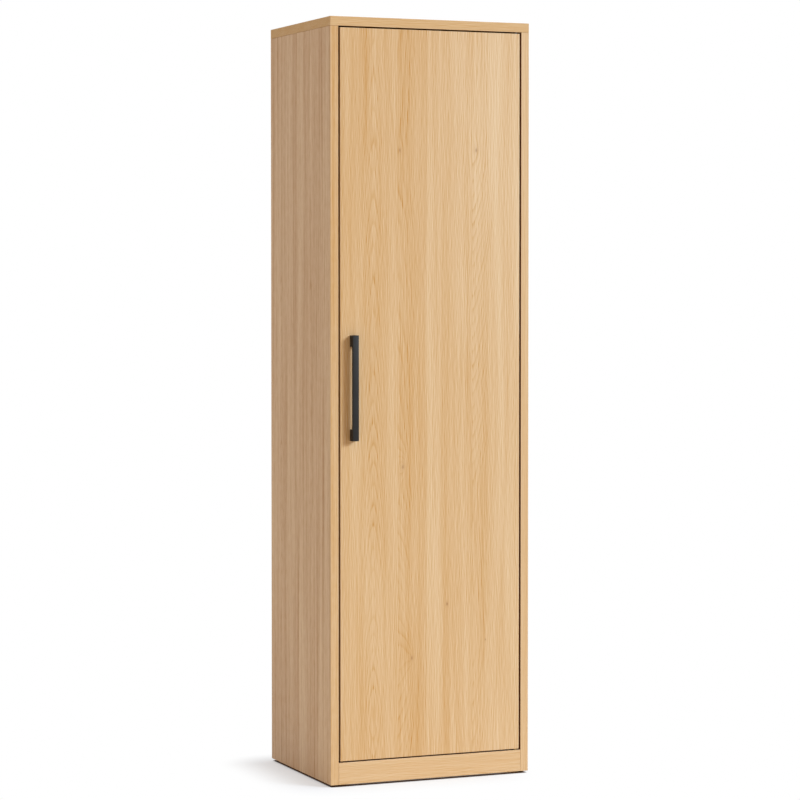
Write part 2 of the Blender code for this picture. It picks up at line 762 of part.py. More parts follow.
def magnetic_catch(top):
    """A magnet in a plastic case with two screw flanges, under the top panel behind the door."""
    case_top = UNDER_TOP - GAP
    case = eased(
        block(
            "catch_case",
            (CATCH_MIDDLE - CATCH_MAGNET_LENGTH / 2, CATCH_FRONT, case_top - CATCH_HEIGHT),
            (CATCH_MIDDLE + CATCH_MAGNET_LENGTH / 2, CATCH_FRONT + CATCH_DEPTH, case_top),
        ),
        CATCH_EASE,
    )
    piece(case, WHITE_PLASTIC, CARCASS)
    flange_top = case_top - GAP
    flange_under = flange_top - CATCH_FLANGE
    flange = eased(
        block(
            "catch_case_flange",
            (CATCH_LEFT, CATCH_FRONT + CATCH_EASE, flange_under),
            (CATCH_LEFT + CATCH_LENGTH, CATCH_FRONT + CATCH_DEPTH - CATCH_EASE, flange_top),
        ),
        CATCH_EASE,
    )
    join(case, flange)
    sizes = (SCREW_RADIUS, CATCH_SCREW_LENGTH, SCREW_HEAD_RADIUS, SCREW_HEAD)
    reach = (CATCH_LENGTH + CATCH_MAGNET_LENGTH) / 4
    y = CATCH_FRONT + CATCH_DEPTH / 2
    depth = CATCH_SCREW_LENGTH - CATCH_FLANGE
    for side, x in (("left", CATCH_MIDDLE - reach), ("right", CATCH_MIDDLE + reach)):
        seat = (x, y, flange_under)
        drill(case, [seat], UP, SCREW_RADIUS + FIT, CATCH_FLANGE + OVERCUT, f"{side}_hole")
        drill(top, [(x, y, UNDER_TOP)], UP, SCREW_RADIUS + FIT, depth, f"{side}_catch_screw")
        pan_screw(f"catch_screw_{side}", seat, UP, sizes, CARCASS)


def strike_plate(door):
    """The steel plate on the back of the door that the magnet holds."""
    front = DOOR_BACK + GAP
    middle = STRIKE_TOP - STRIKE_HEIGHT / 2
    plate = rounded_plate(
        "strike_plate",
        (CATCH_MIDDLE - STRIKE_LENGTH / 2, front, STRIKE_TOP - STRIKE_HEIGHT),
        (CATCH_MIDDLE + STRIKE_LENGTH / 2, front + STRIKE, STRIKE_TOP),
        STRIKE_CORNER,
        NORTH,
    )
    piece(plate, STEEL, DOOR)
    seat = (CATCH_MIDDLE, front + STRIKE, middle)
    countersink(plate, [seat], -NORTH, STRIKE_SCREW_LENGTH, "screw_hole")
    countersink(door, [seat], -NORTH, STRIKE_SCREW_LENGTH, "strike_screw_hole")
    flat_screw("strike_screw", seat, -NORTH, STRIKE_SCREW_LENGTH, DOOR)


def locker():
    panels = side_panels()
    top = top_panel()
    deck = floor_panel()
    back_panel()
    plinth = front_plinth()
    rear_board = rear_plinth()
    hat_shelf()
    shelf_pins()
    rail = hook_rail()
    for side, x in (("left", -HOOK_SPACING / 2), ("right", HOOK_SPACING / 2)):
        coat_hook(f"coat_hook_{side}", x, rail)
    feet(panels)
    carcass_dowels(panels, top, deck, plinth, rear_board, rail)
    door = door_panel()
    pivot_hinge(top, plinth, door)
    door_handle(door)
    magnetic_catch(top)
    strike_plate(door)


locker()
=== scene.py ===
# %% [markdown]
# # A gym locker in oak veneer
# The locker was drawn as solids first, and those solids arrive here as a fixed frame: every board,
# screw and pin already stands where it belongs, in metres, with the front facing -Y. This lesson
# gives them their looks. A board keeps its solid and gets an oak finish. Small turned or cast
# pieces are modelled again with rounder forms, and each one hides the solid it stands for.

# %% Load the frame
import math
from collections import namedtuple

import bmesh
import bpy
from mathutils import Matrix, Vector


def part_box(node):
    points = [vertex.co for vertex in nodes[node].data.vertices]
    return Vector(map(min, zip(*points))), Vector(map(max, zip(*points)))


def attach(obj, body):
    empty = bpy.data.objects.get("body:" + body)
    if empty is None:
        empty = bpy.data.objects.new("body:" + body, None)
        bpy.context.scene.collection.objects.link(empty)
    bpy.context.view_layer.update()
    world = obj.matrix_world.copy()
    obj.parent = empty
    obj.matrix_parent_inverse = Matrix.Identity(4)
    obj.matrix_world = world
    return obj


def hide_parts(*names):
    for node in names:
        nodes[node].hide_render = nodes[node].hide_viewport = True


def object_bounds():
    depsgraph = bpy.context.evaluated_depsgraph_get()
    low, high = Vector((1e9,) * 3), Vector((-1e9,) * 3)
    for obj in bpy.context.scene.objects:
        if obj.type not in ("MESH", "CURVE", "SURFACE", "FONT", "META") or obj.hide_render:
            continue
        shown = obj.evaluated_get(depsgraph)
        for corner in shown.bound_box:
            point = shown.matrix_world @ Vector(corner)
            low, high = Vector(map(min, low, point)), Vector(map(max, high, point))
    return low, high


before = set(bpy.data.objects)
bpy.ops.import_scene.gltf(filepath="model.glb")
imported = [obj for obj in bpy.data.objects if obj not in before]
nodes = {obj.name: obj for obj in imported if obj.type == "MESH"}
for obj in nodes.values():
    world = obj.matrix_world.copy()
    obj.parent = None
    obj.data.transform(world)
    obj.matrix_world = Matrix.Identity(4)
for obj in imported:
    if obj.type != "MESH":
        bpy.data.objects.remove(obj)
cad_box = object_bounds()

# %% [markdown]
# ## Camera
# The picture was taken from far away with a long lens, a little above the middle of the locker and
# to its left, so upright edges stay almost upright. A lens shift could keep them exactly upright,
# but the same shift would cut the locker in other views. A small shift and a tilt of two degrees
# put every corner within a pixel or two of its place. Turn and tilt are in degrees, the lens and
# its sensor in millimetres.

# %% Camera
CAMERA_PLACE = (-2.5945, -6.161, 1.196)
CAMERA_TURN = 22.8411
CAMERA_TILT = 1.9047
LENS = 123.984
SENSOR = 36
LENS_SHIFT = -0.04

lens = bpy.data.cameras.new("picture_lens")
lens.lens = LENS
lens.sensor_width = SENSOR
lens.shift_y = LENS_SHIFT
camera = bpy.data.objects.new("picture_camera", lens)
camera.location = CAMERA_PLACE
camera.rotation_euler = (math.radians(90 - CAMERA_TILT), 0, math.radians(-CAMERA_TURN))
bpy.context.scene.collection.objects.link(camera)
bpy.context.scene.camera = camera
bpy.context.scene.view_settings.view_transform = "Standard"
print("camera: lens", LENS, "mm at", CAMERA_PLACE)

# %% [markdown]
# ## Writing node trees as sums
# Wood is mostly arithmetic on coordinates, and a chain of Math nodes is hard to read in Python.
# So a Wire wraps one output socket and knows how to be added, multiplied and compared. Every
# other node comes from `Tree.node`, which takes the node's type, its settings and its sockets.

# %% Wire: a socket that can be used in a sum
class Wire:
    """An output socket. A sum of wires adds the Math nodes that work it out."""

    def __init__(self, tree, socket):
        self.tree = tree
        self.socket = socket

    def math(self, operation, *values):
        return self.tree.node("ShaderNodeMath", {"operation": operation}, dict(enumerate(values)))

    def done(self, operation, *others):
        return self.math(operation, self, *others)

    def __add__(self, other):
        return self.math("ADD", self, other)

    def __radd__(self, other):
        return self.math("ADD", other, self)

    def __sub__(self, other):
        return self.math("SUBTRACT", self, other)

    def __rsub__(self, other):
        return self.math("SUBTRACT", other, self)

    def __mul__(self, other):
        return self.math("MULTIPLY", self, other)

    def __rmul__(self, other):
        return self.math("MULTIPLY", other, self)

    def __truediv__(self, other):
        return self.math("DIVIDE", self, other)

    def __pow__(self, power):
        return self.math("POWER", self, power)

    def __abs__(self):
        return self.math("ABSOLUTE", self)

    def __gt__(self, other):
        return self.math("GREATER_THAN", self, other)

    def __lt__(self, other):
        return self.math("LESS_THAN", self, other)


# %% Tree: where every node comes from
class Tree:
    """A node tree that is built by one method."""

    def __init__(self, owner):
        owner.use_nodes = True
        self.owner = owner
        self.nodes = owner.node_tree.nodes
        self.links = owner.node_tree.links
        self.nodes.clear()

    def node(self, kind, settings=None, sockets=None, out=0):
        made = self.nodes.new(kind)
        for key, value in (settings or {}).items():
            setattr(made, key, value)
        for key, value in (sockets or {}).items():
            if isinstance(value, Wire):
                self.links.new(value.socket, made.inputs[key])
            else:
                made.inputs[key].default_value = value
        return Wire(self, made.outputs[out]) if made.outputs else made

    def mix(self, share, first, second, clamp=True):
        """A colour between two colours, or past them when the share isn't clamped."""
        colours = {0: share, 6: first, 7: second}
        return self.node("ShaderNodeMix", {"data_type": "RGBA", "clamp_factor": clamp}, colours, out=2)

    def noise(self, x, y, z, detail=2.0):
        """Cloudy values around 0.5, at a place given by three wires or numbers."""
        place = self.node("ShaderNodeCombineXYZ", None, {0: x, 1: y, 2: z})
        sockets = {"Vector": place, "Scale": 1.0, "Detail": detail, "Roughness": 0.55}
        return self.node("ShaderNodeTexNoise", None, sockets)

    def streaks(self, across, along, through, step=0.6):
        """Thin lines along the grain: how much a noise changes over a short step across it."""
        return self.noise(across + step, along, through, 1.0) - self.noise(across, along, through, 1.0)

    def between(self, value, low, high):
        """0 below low, 1 above high and a soft step between them."""
        sockets = {"Value": value, 1: low, 2: high, 3: 0.0, 4: 1.0}
        return self.node("ShaderNodeMapRange", {"interpolation_type": "SMOOTHSTEP"}, sockets)

    def axes(self, output):
        """The three parts of a texture coordinate, in the frame's own axes."""
        vector = self.node("ShaderNodeTexCoord", out=output)
        return {a: self.node("ShaderNodeSeparateXYZ", None, {0: vector}, out=a) for a in "XYZ"}

    def surface(self, height=None, depth=0.0001, **sockets):
        """The shader at the end of a finish. A height gives it relief."""
        values = {key.replace("_", " "): value for key, value in sockets.items()}
        if height is not None:
            bump = {"Height": height, "Strength": 0.5, "Distance": depth}
            values["Normal"] = self.node("ShaderNodeBump", None, bump)
        shader = self.node("ShaderNodeBsdfPrincipled", None, values)
        self.node("ShaderNodeOutputMaterial", None, {"Surface": shader})
        return self.owner


def finish_tree(name):
    """The empty tree of a new material."""
    return Tree(bpy.data.materials.new(name))


print("node helpers ready")

# %% [markdown]
# ## Light and white surroundings
# The picture shows the locker cut out on white, lit by one broad soft lamp from the front right,
# with fill from all around. The handle's shadow falls to its left and a little down, which gives
# the lamp's direction: as far to the right as it is in front, and about six tenths as high. That
# shadow is warm, so the world is warmer in front of the locker than beside it, and the lamp is
# cooler. A second lamp, high above, lights the top. Rays that come straight from the camera or off
# a shiny piece see white instead of the fill.

# %% World
FILL_AROUND = (0.545, 0.55, 0.595, 1.0)
FILL_IN_FRONT = (0.435, 0.29, 0.165, 1.0)
FRONT_SPREAD = 1.3

world = bpy.data.worlds.new("studio_fill")
bpy.context.scene.world = world
air = Tree(world)


def seen_directly(tree):
    """1 for rays that show a thing to the camera, by sight, by reflection or through glass."""
    rays = ("Is Camera Ray", "Is Glossy Ray", "Is Transmission Ray")
    camera_ray, glossy, through = [tree.node("ShaderNodeLightPath", out=ray) for ray in rays]
    return (camera_ray + glossy + through).done("MINIMUM", 1.0)


in_front = (air.axes("Generated")["Y"] * -FRONT_SPREAD).done("MAXIMUM", 0.0)
fill_colour = air.mix(in_front, FILL_AROUND, FILL_IN_FRONT)
fill = air.node("ShaderNodeBackground", None, {"Color": fill_colour, "Strength": 1.0})
white = air.node("ShaderNodeBackground", None, {"Color": (1, 1, 1, 1), "Strength": 1.0})
surroundings = air.node("ShaderNodeMixShader", None, {0: seen_directly(air), 1: fill, 2: white})
air.node("ShaderNodeOutputWorld", None, {"Surface": surroundings})
print("world: fill", FILL_AROUND, "and in front", FILL_IN_FRONT)

# %% Lamps
def lamp(name, kind, place, target, power, colour, **settings):
    """A lamp that faces a target. Its settings give the size that softens its shadows."""
    light = bpy.data.lights.new(name, kind)
    light.energy = power
    light.color = colour
    for key, value in settings.items():
        setattr(light, key, value)
    made = bpy.data.objects.new(name, light)
    made.location = place
    made.rotation_euler = (Vector(target) - Vector(place)).to_track_quat("-Z", "Y").to_euler()
    bpy.context.scene.collection.objects.link(made)
    print(name + ":", kind, power, "at", place)


lamp("key_lamp", "SUN", place=(1.0, -1.19, 1.55), target=(0, -0.19, 0.93), power=2.27,
     colour=(0.865, 1.04, 1.215), angle=math.radians(19))
lamp("ceiling_lamp", "AREA", place=(1.095, -0.75, 12.0), target=(0, 0, 0), power=250,
     colour=(1.0, 0.99, 0.98), shape="DISK", size=1.6)

# %% [markdown]
# ## Floor
# The locker stands on white, with a soft shadow beside it and a dark line under its base. A floor of
# plain white paint would take the shadow but turn grey in the picture. So this one is part paint and
# part glow: further off it only glows, as white as the surroundings, and close to the locker the
# paint has its share and shows the shadow. Ambient occlusion finds the narrow gap underneath, and
# there a painted shade turns both paint and glow dark brown. Rays that only carry light meet a
# warmer paint, which warms the light that the floor throws up.

# %% Floor sheet
FLOOR_REACH = 9.0

floor_mesh = bpy.data.meshes.new("studio_floor")
sheet = bmesh.new()
bmesh.ops.create_circle(sheet, cap_ends=True, segments=64, radius=FLOOR_REACH)
sheet.to_mesh(floor_mesh)
sheet.free()
floor = bpy.data.objects.new("studio_floor", floor_mesh)
bpy.context.scene.collection.objects.link(floor)
print("floor: radius", FLOOR_REACH, "m")

# %% Floor paint
FLOOR_WHITE = 0.46
FLOOR_PAINT = (0.90, 0.93, 0.96, 1)
FLOOR_BOUNCE = (0.85, 0.745, 0.61, 1)
PAINTED_SHADE_UNDER_BASE = (0.07, 0.03, 0.012, 1)
GAP_REACH = 0.05
GAP_SHADE, GAP_END = 0.2, 0.62
SHADOW_REACH = 0.15
# The shadow starts inside the locker's box: it is trimmed by this much at the low and high corners.
TRIM_LOW = Vector((0, 0.04, 0))
TRIM_HIGH = Vector((0.12, 0.05, 0))

ground = finish_tree("studio_floor_paint")
# Painted shade: where ambient occlusion finds the gap under the locker, paint and glow turn dark brown.
open_air = ground.node("ShaderNodeAmbientOcclusion", None, {"Distance": GAP_REACH}, out="AO")
open_air = ground.between(open_air, GAP_SHADE, GAP_END)
paint_colour = ground.mix(open_air, PAINTED_SHADE_UNDER_BASE, FLOOR_PAINT)
paint_colour = ground.mix(seen_directly(ground), FLOOR_BOUNCE, paint_colour)
paint = ground.node("ShaderNodeBsdfDiffuse", None, {"Color": paint_colour})
glow_colour = ground.mix(open_air, PAINTED_SHADE_UNDER_BASE, (1, 1, 1, 1))
glow = ground.node("ShaderNodeEmission", None, {"Color": glow_colour, "Strength": 1.0})
spot = ground.axes("Object")
shaded = zip(cad_box[0] + TRIM_LOW, cad_box[1] - TRIM_HIGH)
beside = [
    (abs(spot[axis] - (low + high) / 2) - (high - low) / 2).done("MAXIMUM", 0.0)
    for axis, (low, high) in zip("XY", shaded)
]
away = (beside[0] * beside[0] + beside[1] * beside[1]) ** 0.5
share = FLOOR_WHITE + (1 - FLOOR_WHITE) * ground.between(away, 0.0, SHADOW_REACH)
share = seen_directly(ground) * share
look = ground.node("ShaderNodeMixShader", None, {0: share, 1: paint, 2: glow})
ground.node("ShaderNodeOutputMaterial", None, {"Surface": look})
floor_mesh.materials.append(ground.owner)
print("floor paint: glows from", SHADOW_REACH, "m away")

# %% [markdown]
# ## Oak veneer
# Oak veneer is sliced from a log in thin leaves, and the leaves are laid side by side on a board.
# Where the knife ran close to the heart of the log, the growth rings come out as nested arches;
# further out they are straight lines. The same happens here: a ring is a tube round the heart of
# the log, so its distance from a point of the leaf is a square root, and the heart's rise and fall
# along the leaf turns the tubes into arches that point up or down. Each leaf has its own heart
# line, and `turns` says where along the leaf the heart rises or falls. Painting an image would be
# quicker, but this stays sharp at any distance and needs no files.

# %% Leaves, knots and how to pick between leaves
# A leaf has a start across its board, a heart line with its depth under the leaf, the squeeze, lean,
# turns and reach of its arches, the width of a ring, and the contrast and tone of its wood. A knot
# pushes the rings aside and has a dark core, and a patch is a soft spot made darker or lighter by its tone.
Leaf = namedtuple("Leaf", "start heart depth squeeze lean turns reach ring contrast tone")
Knot = namedtuple("Knot", "across along size push dark")
Patch = namedtuple("Patch", "across along width length tone")
TURN_SOFTNESS = 0.03


def pick(inside, values):
    """The value that belongs to the leaf a point lies in: each step moves on to the next leaf."""
    total = values[0]
    for step, low, high in zip(inside, values, values[1:]):
        total = total + step * (high - low)
    return total


def rise(along, turns):
    """How far the heart has risen: a turn is a height and the slope above it, with soft corners."""
    total = 0.0
    before = 0.0
    for height, slope in turns:
        past = along - height
        bend = (past * past + TURN_SOFTNESS * TURN_SOFTNESS) ** 0.5
        total = total + (past + bend) * ((slope - before) / 2)
        before = slope
    return total


print("leaf and knot forms ready")


# %% Where a point lies on its board
FACING = 0.7
BACK_SHIFT = 0.137


def board_place(tree, face, grain, cross):
    """Across, along and through the grain, and 1 on edges, whose strip of veneer has its own grain."""
    place = tree.axes("Object")
    way = tree.axes("Normal")
    on_end = abs(way[grain]) > FACING
    on_edge = abs(way[cross]) > FACING
    strip = on_end + on_edge
    behind = (way[face] > FACING) * BACK_SHIFT
    across = (place[cross] + behind) * (1 - strip) + place[face] * strip
    along = place[grain] * (1 - on_end) + place[cross] * on_end
    through = place[face] * (1 - strip) + place[cross] * strip
    return across, along, through, strip


print("board axes ready")


# %% Knots and patches
def knot_marks(across, along, rough, knots):
    """How far the knots push the rings aside, and their dark: a core with a fainter halo."""
    push = 0.0
    dark = 0.0
    for knot in knots:
        sideways = (across - knot.across) / knot.size
        upright = (along - knot.along) / knot.size
        spot = sideways * sideways + upright * upright * 0.25
        push = push + knot.push * (spot * -0.12).done("EXPONENT")
        spot = spot * (1 + rough * 2.5)
        core = (spot * -3.0).done("EXPONENT")
        halo = (spot * -0.35).done("EXPONENT")
        dark = dark + knot.dark * (core + halo * 0.2)
    return push, dark


def patch_tone(across, along, patches):
    """How much darker the patches make a point: most in their middle, and less and less outward."""
    tone = 0.0
    for patch in patches:
        aside = (across - patch.across) / patch.width
        upward = (along - patch.along) / patch.length
        tone = tone + patch.tone * (0 - aside * aside - upward * upward).done("EXPONENT")
    return tone


print("knots and patches ready")


# %% Growth rings
LEAF_SHIFT = 3.7


def growth_rings(tree, across, along, through, hair, leaves, knots, patches):
    """Dark early wood of each ring, from 0 to 1, the dark of the knots, and the tone of leaf and patches.
    """
    inside = [across > leaf.start for leaf in leaves[1:]]
    heart = across - pick(inside, [leaf.heart for leaf in leaves])
    reach = pick(inside, [leaf.reach for leaf in leaves])
    edge = abs(heart) / reach
    plain = tree.between(edge, 0.6, 1.4)
    lean = abs(heart) * pick(inside, [leaf.lean for leaf in leaves])
    heart = heart * pick(inside, [leaf.squeeze for leaf in leaves]) + lean
    depth = pick(inside, [leaf.depth for leaf in leaves])
    size = pick(inside, [leaf.ring for leaf in leaves])
    rises = pick(inside, [rise(along, leaf.turns) for leaf in leaves])
    far = (heart * heart + depth * depth) ** 0.5 + edge ** 4 * size * 1.5 + rises
    number = pick(inside, [LEAF_SHIFT * order for order in range(len(leaves))])
    pace = tree.noise(number, along * 4.5, through * 2, 1.0) - 0.5
    slow = tree.noise(across * 14, along * 2.2 + number, through * 9, 1.0) - 0.5
    quick = tree.noise(across * 70, along * 11, through * 9 + number, 2.0) - 0.5
    push, dark = knot_marks(across, along, quick, knots)
    far = far + pace * 0.005 + slow * 0.006 + quick * 0.0011 + hair * 0.0006 + push
    count = far / size
    ring = count.done("FRACT")
    which = tree.node("ShaderNodeCombineXYZ", None, {0: count.done("FLOOR"), 1: number})
    lot = tree.node("ShaderNodeTexWhiteNoise", {"noise_dimensions": "2D"}, {"Vector": which})
    early = ((1 - ring) ** 6.0 * 0.8 + (1 - ring) ** 2.0 * 0.5) * (ring * 7).done("MINIMUM", 1.0)
    swell = tree.between(tree.noise(number, along * 7, through * 2 + 5, 1.0), 0.35, 0.65)
    early = early * (0.5 + lot * lot * 0.52) * pick(inside, [leaf.contrast for leaf in leaves])
    early = early * (1 - plain * 0.85) * (0.6 + swell * 0.5) * (1 + hair * 2.0)
    tone = pick(inside, [leaf.tone for leaf in leaves]) + patch_tone(across, along, patches)
    return early, dark, tone


print("growth rings ready")


# %% Raw edges, and the gap stained as painted shade
HAIR_WIDTH = 0.0005
OPENING_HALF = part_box("right_side_panel")[0][0] + HAIR_WIDTH
OPENING_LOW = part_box("front_plinth")[1][2] - HAIR_WIDTH
OPENING_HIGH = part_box("top_panel")[0][2] + HAIR_WIDTH
BEHIND_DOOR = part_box("door_panel")[1][1] - HAIR_WIDTH


def painted_gap_shade(tree):
    """1 on the faces round the opening that the closed door hides; a dark stain paints shade there."""
    place = tree.axes("Object")
    level = (abs(place["X"]) < OPENING_HALF) * (place["Z"] > OPENING_LOW) * (place["Z"] < OPENING_HIGH)
    return level * (place["Y"] < BEHIND_DOOR) * (tree.axes("Normal")["Y"] > -0.5)


def raw_edge(tree, strip):
    """1 on the edges that stand against a wall or the floor, where the core of the board shows."""
    way = tree.axes("Normal")
    return strip * ((way["Y"] > FACING) + (way["Z"] < -FACING))


def chips(tree, across, along, through):
    """Pressed chips of wood: each flat cell has its own colour, and a Math node makes it a number."""
    place = tree.node("ShaderNodeCombineXYZ", None, {0: across * 800, 1: along * 240, 2: through * 800})
    cell = tree.node("ShaderNodeTexVoronoi", None, {"Vector": place, "Scale": 1.0}, out="Color")
    return cell * 1.0


print("opening: half width", OPENING_HALF, "from", OPENING_LOW, "to", OPENING_HIGH)

# %% Oak colours and kinds of grain
OAK_LIGHT = (0.752, 0.539, 0.313, 1)
OAK_DARK = (0.532, 0.239, 0.018, 1)
KNOT_BROWN = (0.29, 0.10, 0.015, 1)
# Painted shade: the faces in the gap behind the door's edge are stained this dark brown.
STAINED_GAP_SHADE = (0.17, 0.055, 0.02, 1)
CHIP_LIGHT = (0.60, 0.44, 0.28, 1)
CHIP_DARK = (0.33, 0.21, 0.12, 1)
# A kind of grain says how much each of its marks adds to the depth of the colour.
Grain = namedtuple("Grain", "hair line fibre band cloud vein fleck")
FINE_GRAIN = Grain(1.04, 0.28, 0.22, 0.46, 0.40, 0.10, 0.04)
SIDE_GRAIN = Grain(0.80, 0.76, 0.42, 0.66, 0.36, 0.42, 0.52)
SUNNY_GRAIN = Grain(0.80, 0.46, 0.28, 0.42, 0.30, 0.16, 0.16)
CALM_GRAIN = Grain(0.65, 0.22, 0.16, 0.34, 0.24, 0.08, 0.0)


def grain_marks(tree, across, along, through, coarse, stretch):
    """Hairlines, lines, fibres, bands, clouds, dark veins and short flecks that run along the grain."""
    vein = tree.noise(across * (120 / coarse), along * (1.5 / stretch), through * 120 + 7, 1.0)
    return Grain(
        hair=tree.streaks(across * 400, along * (24 / stretch), through * 400),
        line=tree.noise(across * (320 / coarse), along * (3.0 / stretch), through * 320, 1.0) - 0.5,
        fibre=tree.streaks(across * (110 / coarse), along * (5.0 / stretch), through * 110),
        band=tree.noise(across * (44 / coarse), along * 1.3, through * 30, 1.0) - 0.5,
        cloud=tree.noise(across * 18, along * 1.2, through * 5 + 3.1, 2.0) - 0.5,
        vein=tree.between(vein, 0.55, 0.72),
        fleck=tree.noise(across * 140, along * 45, through * 140 + 11, 2.0) - 0.5,
    )


print("oak: from", OAK_LIGHT[:3], "to", OAK_DARK[:3], "with marks", Grain._fields)

# %% Oak finish
EARLY_DEPTH, PORE_DEPTH = 0.42, 0.25
PALEST, DARKEST = -0.3, 1.1
STAINED_GAP_SHADE_SHARE = 0.9
SATIN = 0.44


def oak_colour(tree, face, grain, cross, leaves, knots=(), patches=(), shade=0.25, edge=0.33,
               coarse=1.0, stretch=1.0, lines=FINE_GRAIN, pair=(OAK_LIGHT, OAK_DARK), carcass=True):
    """Colour, relief and roughness of satin oak on a board with given face, grain and cross axes.

    Shade and edge are the depth of the colour on the face and on the edge strips. Coarse widens the
    marks of the grain and stretch makes them longer.
    """
    across, along, through, strip = board_place(tree, face, grain, cross)
    marks = grain_marks(tree, across, along, through, coarse, stretch)
    early, dark, tone = growth_rings(tree, across, along, through, marks.hair, leaves, knots, patches)
    early = early * (1 - strip * 0.6)
    dash = tree.noise(across * 1700, along * 42, through * 1700, 1.0)
    pore = tree.between(dash, 0.56, 0.70) * (0.3 + early * 0.9)
    grainy = sum(mark * share for mark, share in zip(marks, lines))
    depth = edge * strip + (shade + tone) * (1 - strip) + grainy * (1 - strip * 0.35)
    depth = depth + early * EARLY_DEPTH + pore * PORE_DEPTH
    depth = depth.done("MAXIMUM", PALEST).done("MINIMUM", DARKEST)
    veneer = tree.mix(depth, *pair, clamp=False)
    colour = tree.mix(strip, veneer, tree.mix(depth, OAK_LIGHT, OAK_DARK, clamp=False))
    colour = tree.mix(dark, colour, KNOT_BROWN)
    height = marks.hair * 0.5 - pore - early * 0.4
    roughness = SATIN + pore * 0.2 + marks.hair * 0.12
    if carcass:
        raw = raw_edge(tree, strip)
        chip = chips(tree, across, along, through)
        # Painted shade: the faces in the gap round the door are stained dark.
        colour = tree.mix(painted_gap_shade(tree) * STAINED_GAP_SHADE_SHARE, colour, STAINED_GAP_SHADE)
        colour = tree.mix(raw, colour, tree.mix(chip, CHIP_LIGHT, CHIP_DARK))
        height = height * (1 - raw) + chip * raw * 3
        roughness = roughness + raw * 0.3
    return colour, height, roughness


def oak(name, *board, gloss=0.4, **looks):
    """Oak veneer as a finish: the board's axes and leaves, and what sets its looks."""
    tree = finish_tree(name)
    colour, height, roughness = oak_colour(tree, *board, **looks)
    return tree.surface(
        height=height, depth=0.00005, Base_Color=colour, Roughness=roughness, Specular_IOR_Level=gloss)


print("oak recipe ready")

# %% [markdown]
# ## Which leaves lie on which board
# The door is laid with six leaves. The two on the left and the widest one, on the right, were cut
# close to the heart and show arches; the three between them are straight, and one of those is paler
# than its neighbours. Six small knots show as dark spots, and beside two of them the rings swirl.
# One pattern for all boards would be shorter, but the eye soon finds what repeats. So the sides have
# leaves of their own with a coarser grain, the right side a later cut of the same log, and only the
# boards that lie across share a calm set. All places are in metres.

# %% Leaves of the door
BELOW = -9
WHOLE = 9.0


def straight_leaf(start, heart, ring, contrast, tone):
    """A leaf cut far from the heart: its rings come out as lines that hardly bend."""
    return Leaf(start, heart, 0.05, 1.0, 0, [(BELOW, -0.006), (0.4, 0.006)], 0.5, ring, contrast, tone)


DOOR_LEAVES = [
    Leaf(BELOW, -0.147, 0.003, 0.46, 0,
         [(BELOW, -0.075), (0.172, 0.085), (0.9, 0.055)], 0.030, 0.0040, 1.25, 0.02),
    Leaf(-0.0855, -0.0875, 0.002, 0.26, 0,
         [(BELOW, -0.10), (0.29, 0.105), (0.72, 0.045), (1.49, -0.028)], 0.044, 0.0040, 1.15, 0.06),
    straight_leaf(-0.037, 0.20, 0.0060, 0.6, 0.09),
    straight_leaf(-0.0105, 0.26, 0.0066, 0.3, -0.08),
    straight_leaf(0.025, 0.30, 0.0060, 0.6, -0.01),
    Leaf(0.0475, 0.107, 0.004, 1.8, -1.16,
         [(BELOW, -0.15), (0.31, 0.05), (0.70, -0.20), (1.47, 0.0)], 0.048, 0.0066, 1.4, -0.05),
]
# Two patches at the top paint light, as marked below; the others make streaks and spots darker or lighter.
DOOR_TONES_SHEEN_AND_SHADE = [
    Patch(-0.098, 0.9, 0.008, WHOLE, -0.07),
    Patch(0.039, 0.5, 0.006, 0.9, 0.10),
    Patch(0.140, 0.7, 0.012, 0.8, 0.06),
    # Painted sheen: this lighter patch stands in for a soft reflection of the lamp on the top right.
    Patch(0.190, 1.60, 0.100, 0.45, -0.21),
    # Painted shade: this darker patch makes the top left darker.
    Patch(-0.190, 1.60, 0.110, 0.60, 0.05),
    Patch(0.200, 0.30, 0.060, 0.60, -0.07),
    Patch(-0.061, 0.318, 0.011, 0.045, 0.19),
]
DOOR_KNOTS = [
    Knot(-0.080, 1.492, 0.0035, -0.003, 0.46),
    Knot(0.117, 1.495, 0.0042, -0.004, 0.50),
    Knot(-0.072, 0.747, 0.0038, -0.006, 0.46),
    Knot(-0.076, 0.752, 0.0070, -0.006, 0.0),
    Knot(-0.049, 0.294, 0.0035, -0.006, 0.46),
    Knot(-0.060, 0.306, 0.0085, -0.0055, 0.0),
    Knot(0.042, 0.418, 0.0022, -0.001, 0.62),
    Knot(0.142, 0.328, 0.0016, -0.001, 0.60),
]
print("door:", len(DOOR_LEAVES), "leaves,", len(DOOR_KNOTS), "knots,", len(DOOR_TONES_SHEEN_AND_SHADE), "patches")

# %% Leaves of the sides and of the boards that lie across
SIDE_LEAVES = [
    straight_leaf(BELOW, -0.30, 0.0070, 0.6, 0.0),
    Leaf(-0.105, -0.062, 0.012, 1.0, 0, [(BELOW, -0.09), (0.9, 0.09)], 0.03, 0.0070, 0.9, 0.04),
    straight_leaf(-0.022, 0.30, 0.0065, 0.5, -0.08),
    straight_leaf(0.030, 0.30, 0.0065, 0.9, 0.07),
    Leaf(0.060, 0.138, 0.014, 1.0, 0, [(BELOW, 0.0), (0.4, 0.18), (1.2, 0.0)], 0.04, 0.0070, 0.8, 0.0),
]
# Painted shade: this patch makes the sides darker towards their top, where less light from the floor
# reaches.
SIDE_PAINTED_SHADE = [Patch(0.0, 1.9, WHOLE, 0.9, 0.10)]
SIDE_PAIR = ((0.762, 0.538, 0.300, 1), (0.455, 0.198, 0.032, 1))
NEXT_CUT = 0.04
CROSS_LEAVES = [
    straight_leaf(BELOW, -0.30, 0.0060, 0.6, 0.0),
    Leaf(-0.055, 0.0, 0.012, 1.0, 0, [(BELOW, -0.1), (-0.1, 0.1)], 0.03, 0.0060, 0.8, 0.02),
    straight_leaf(0.075, 0.30, 0.0060, 0.6, -0.03),
]
print("sides:", len(SIDE_LEAVES), "leaves, boards across:", len(CROSS_LEAVES))

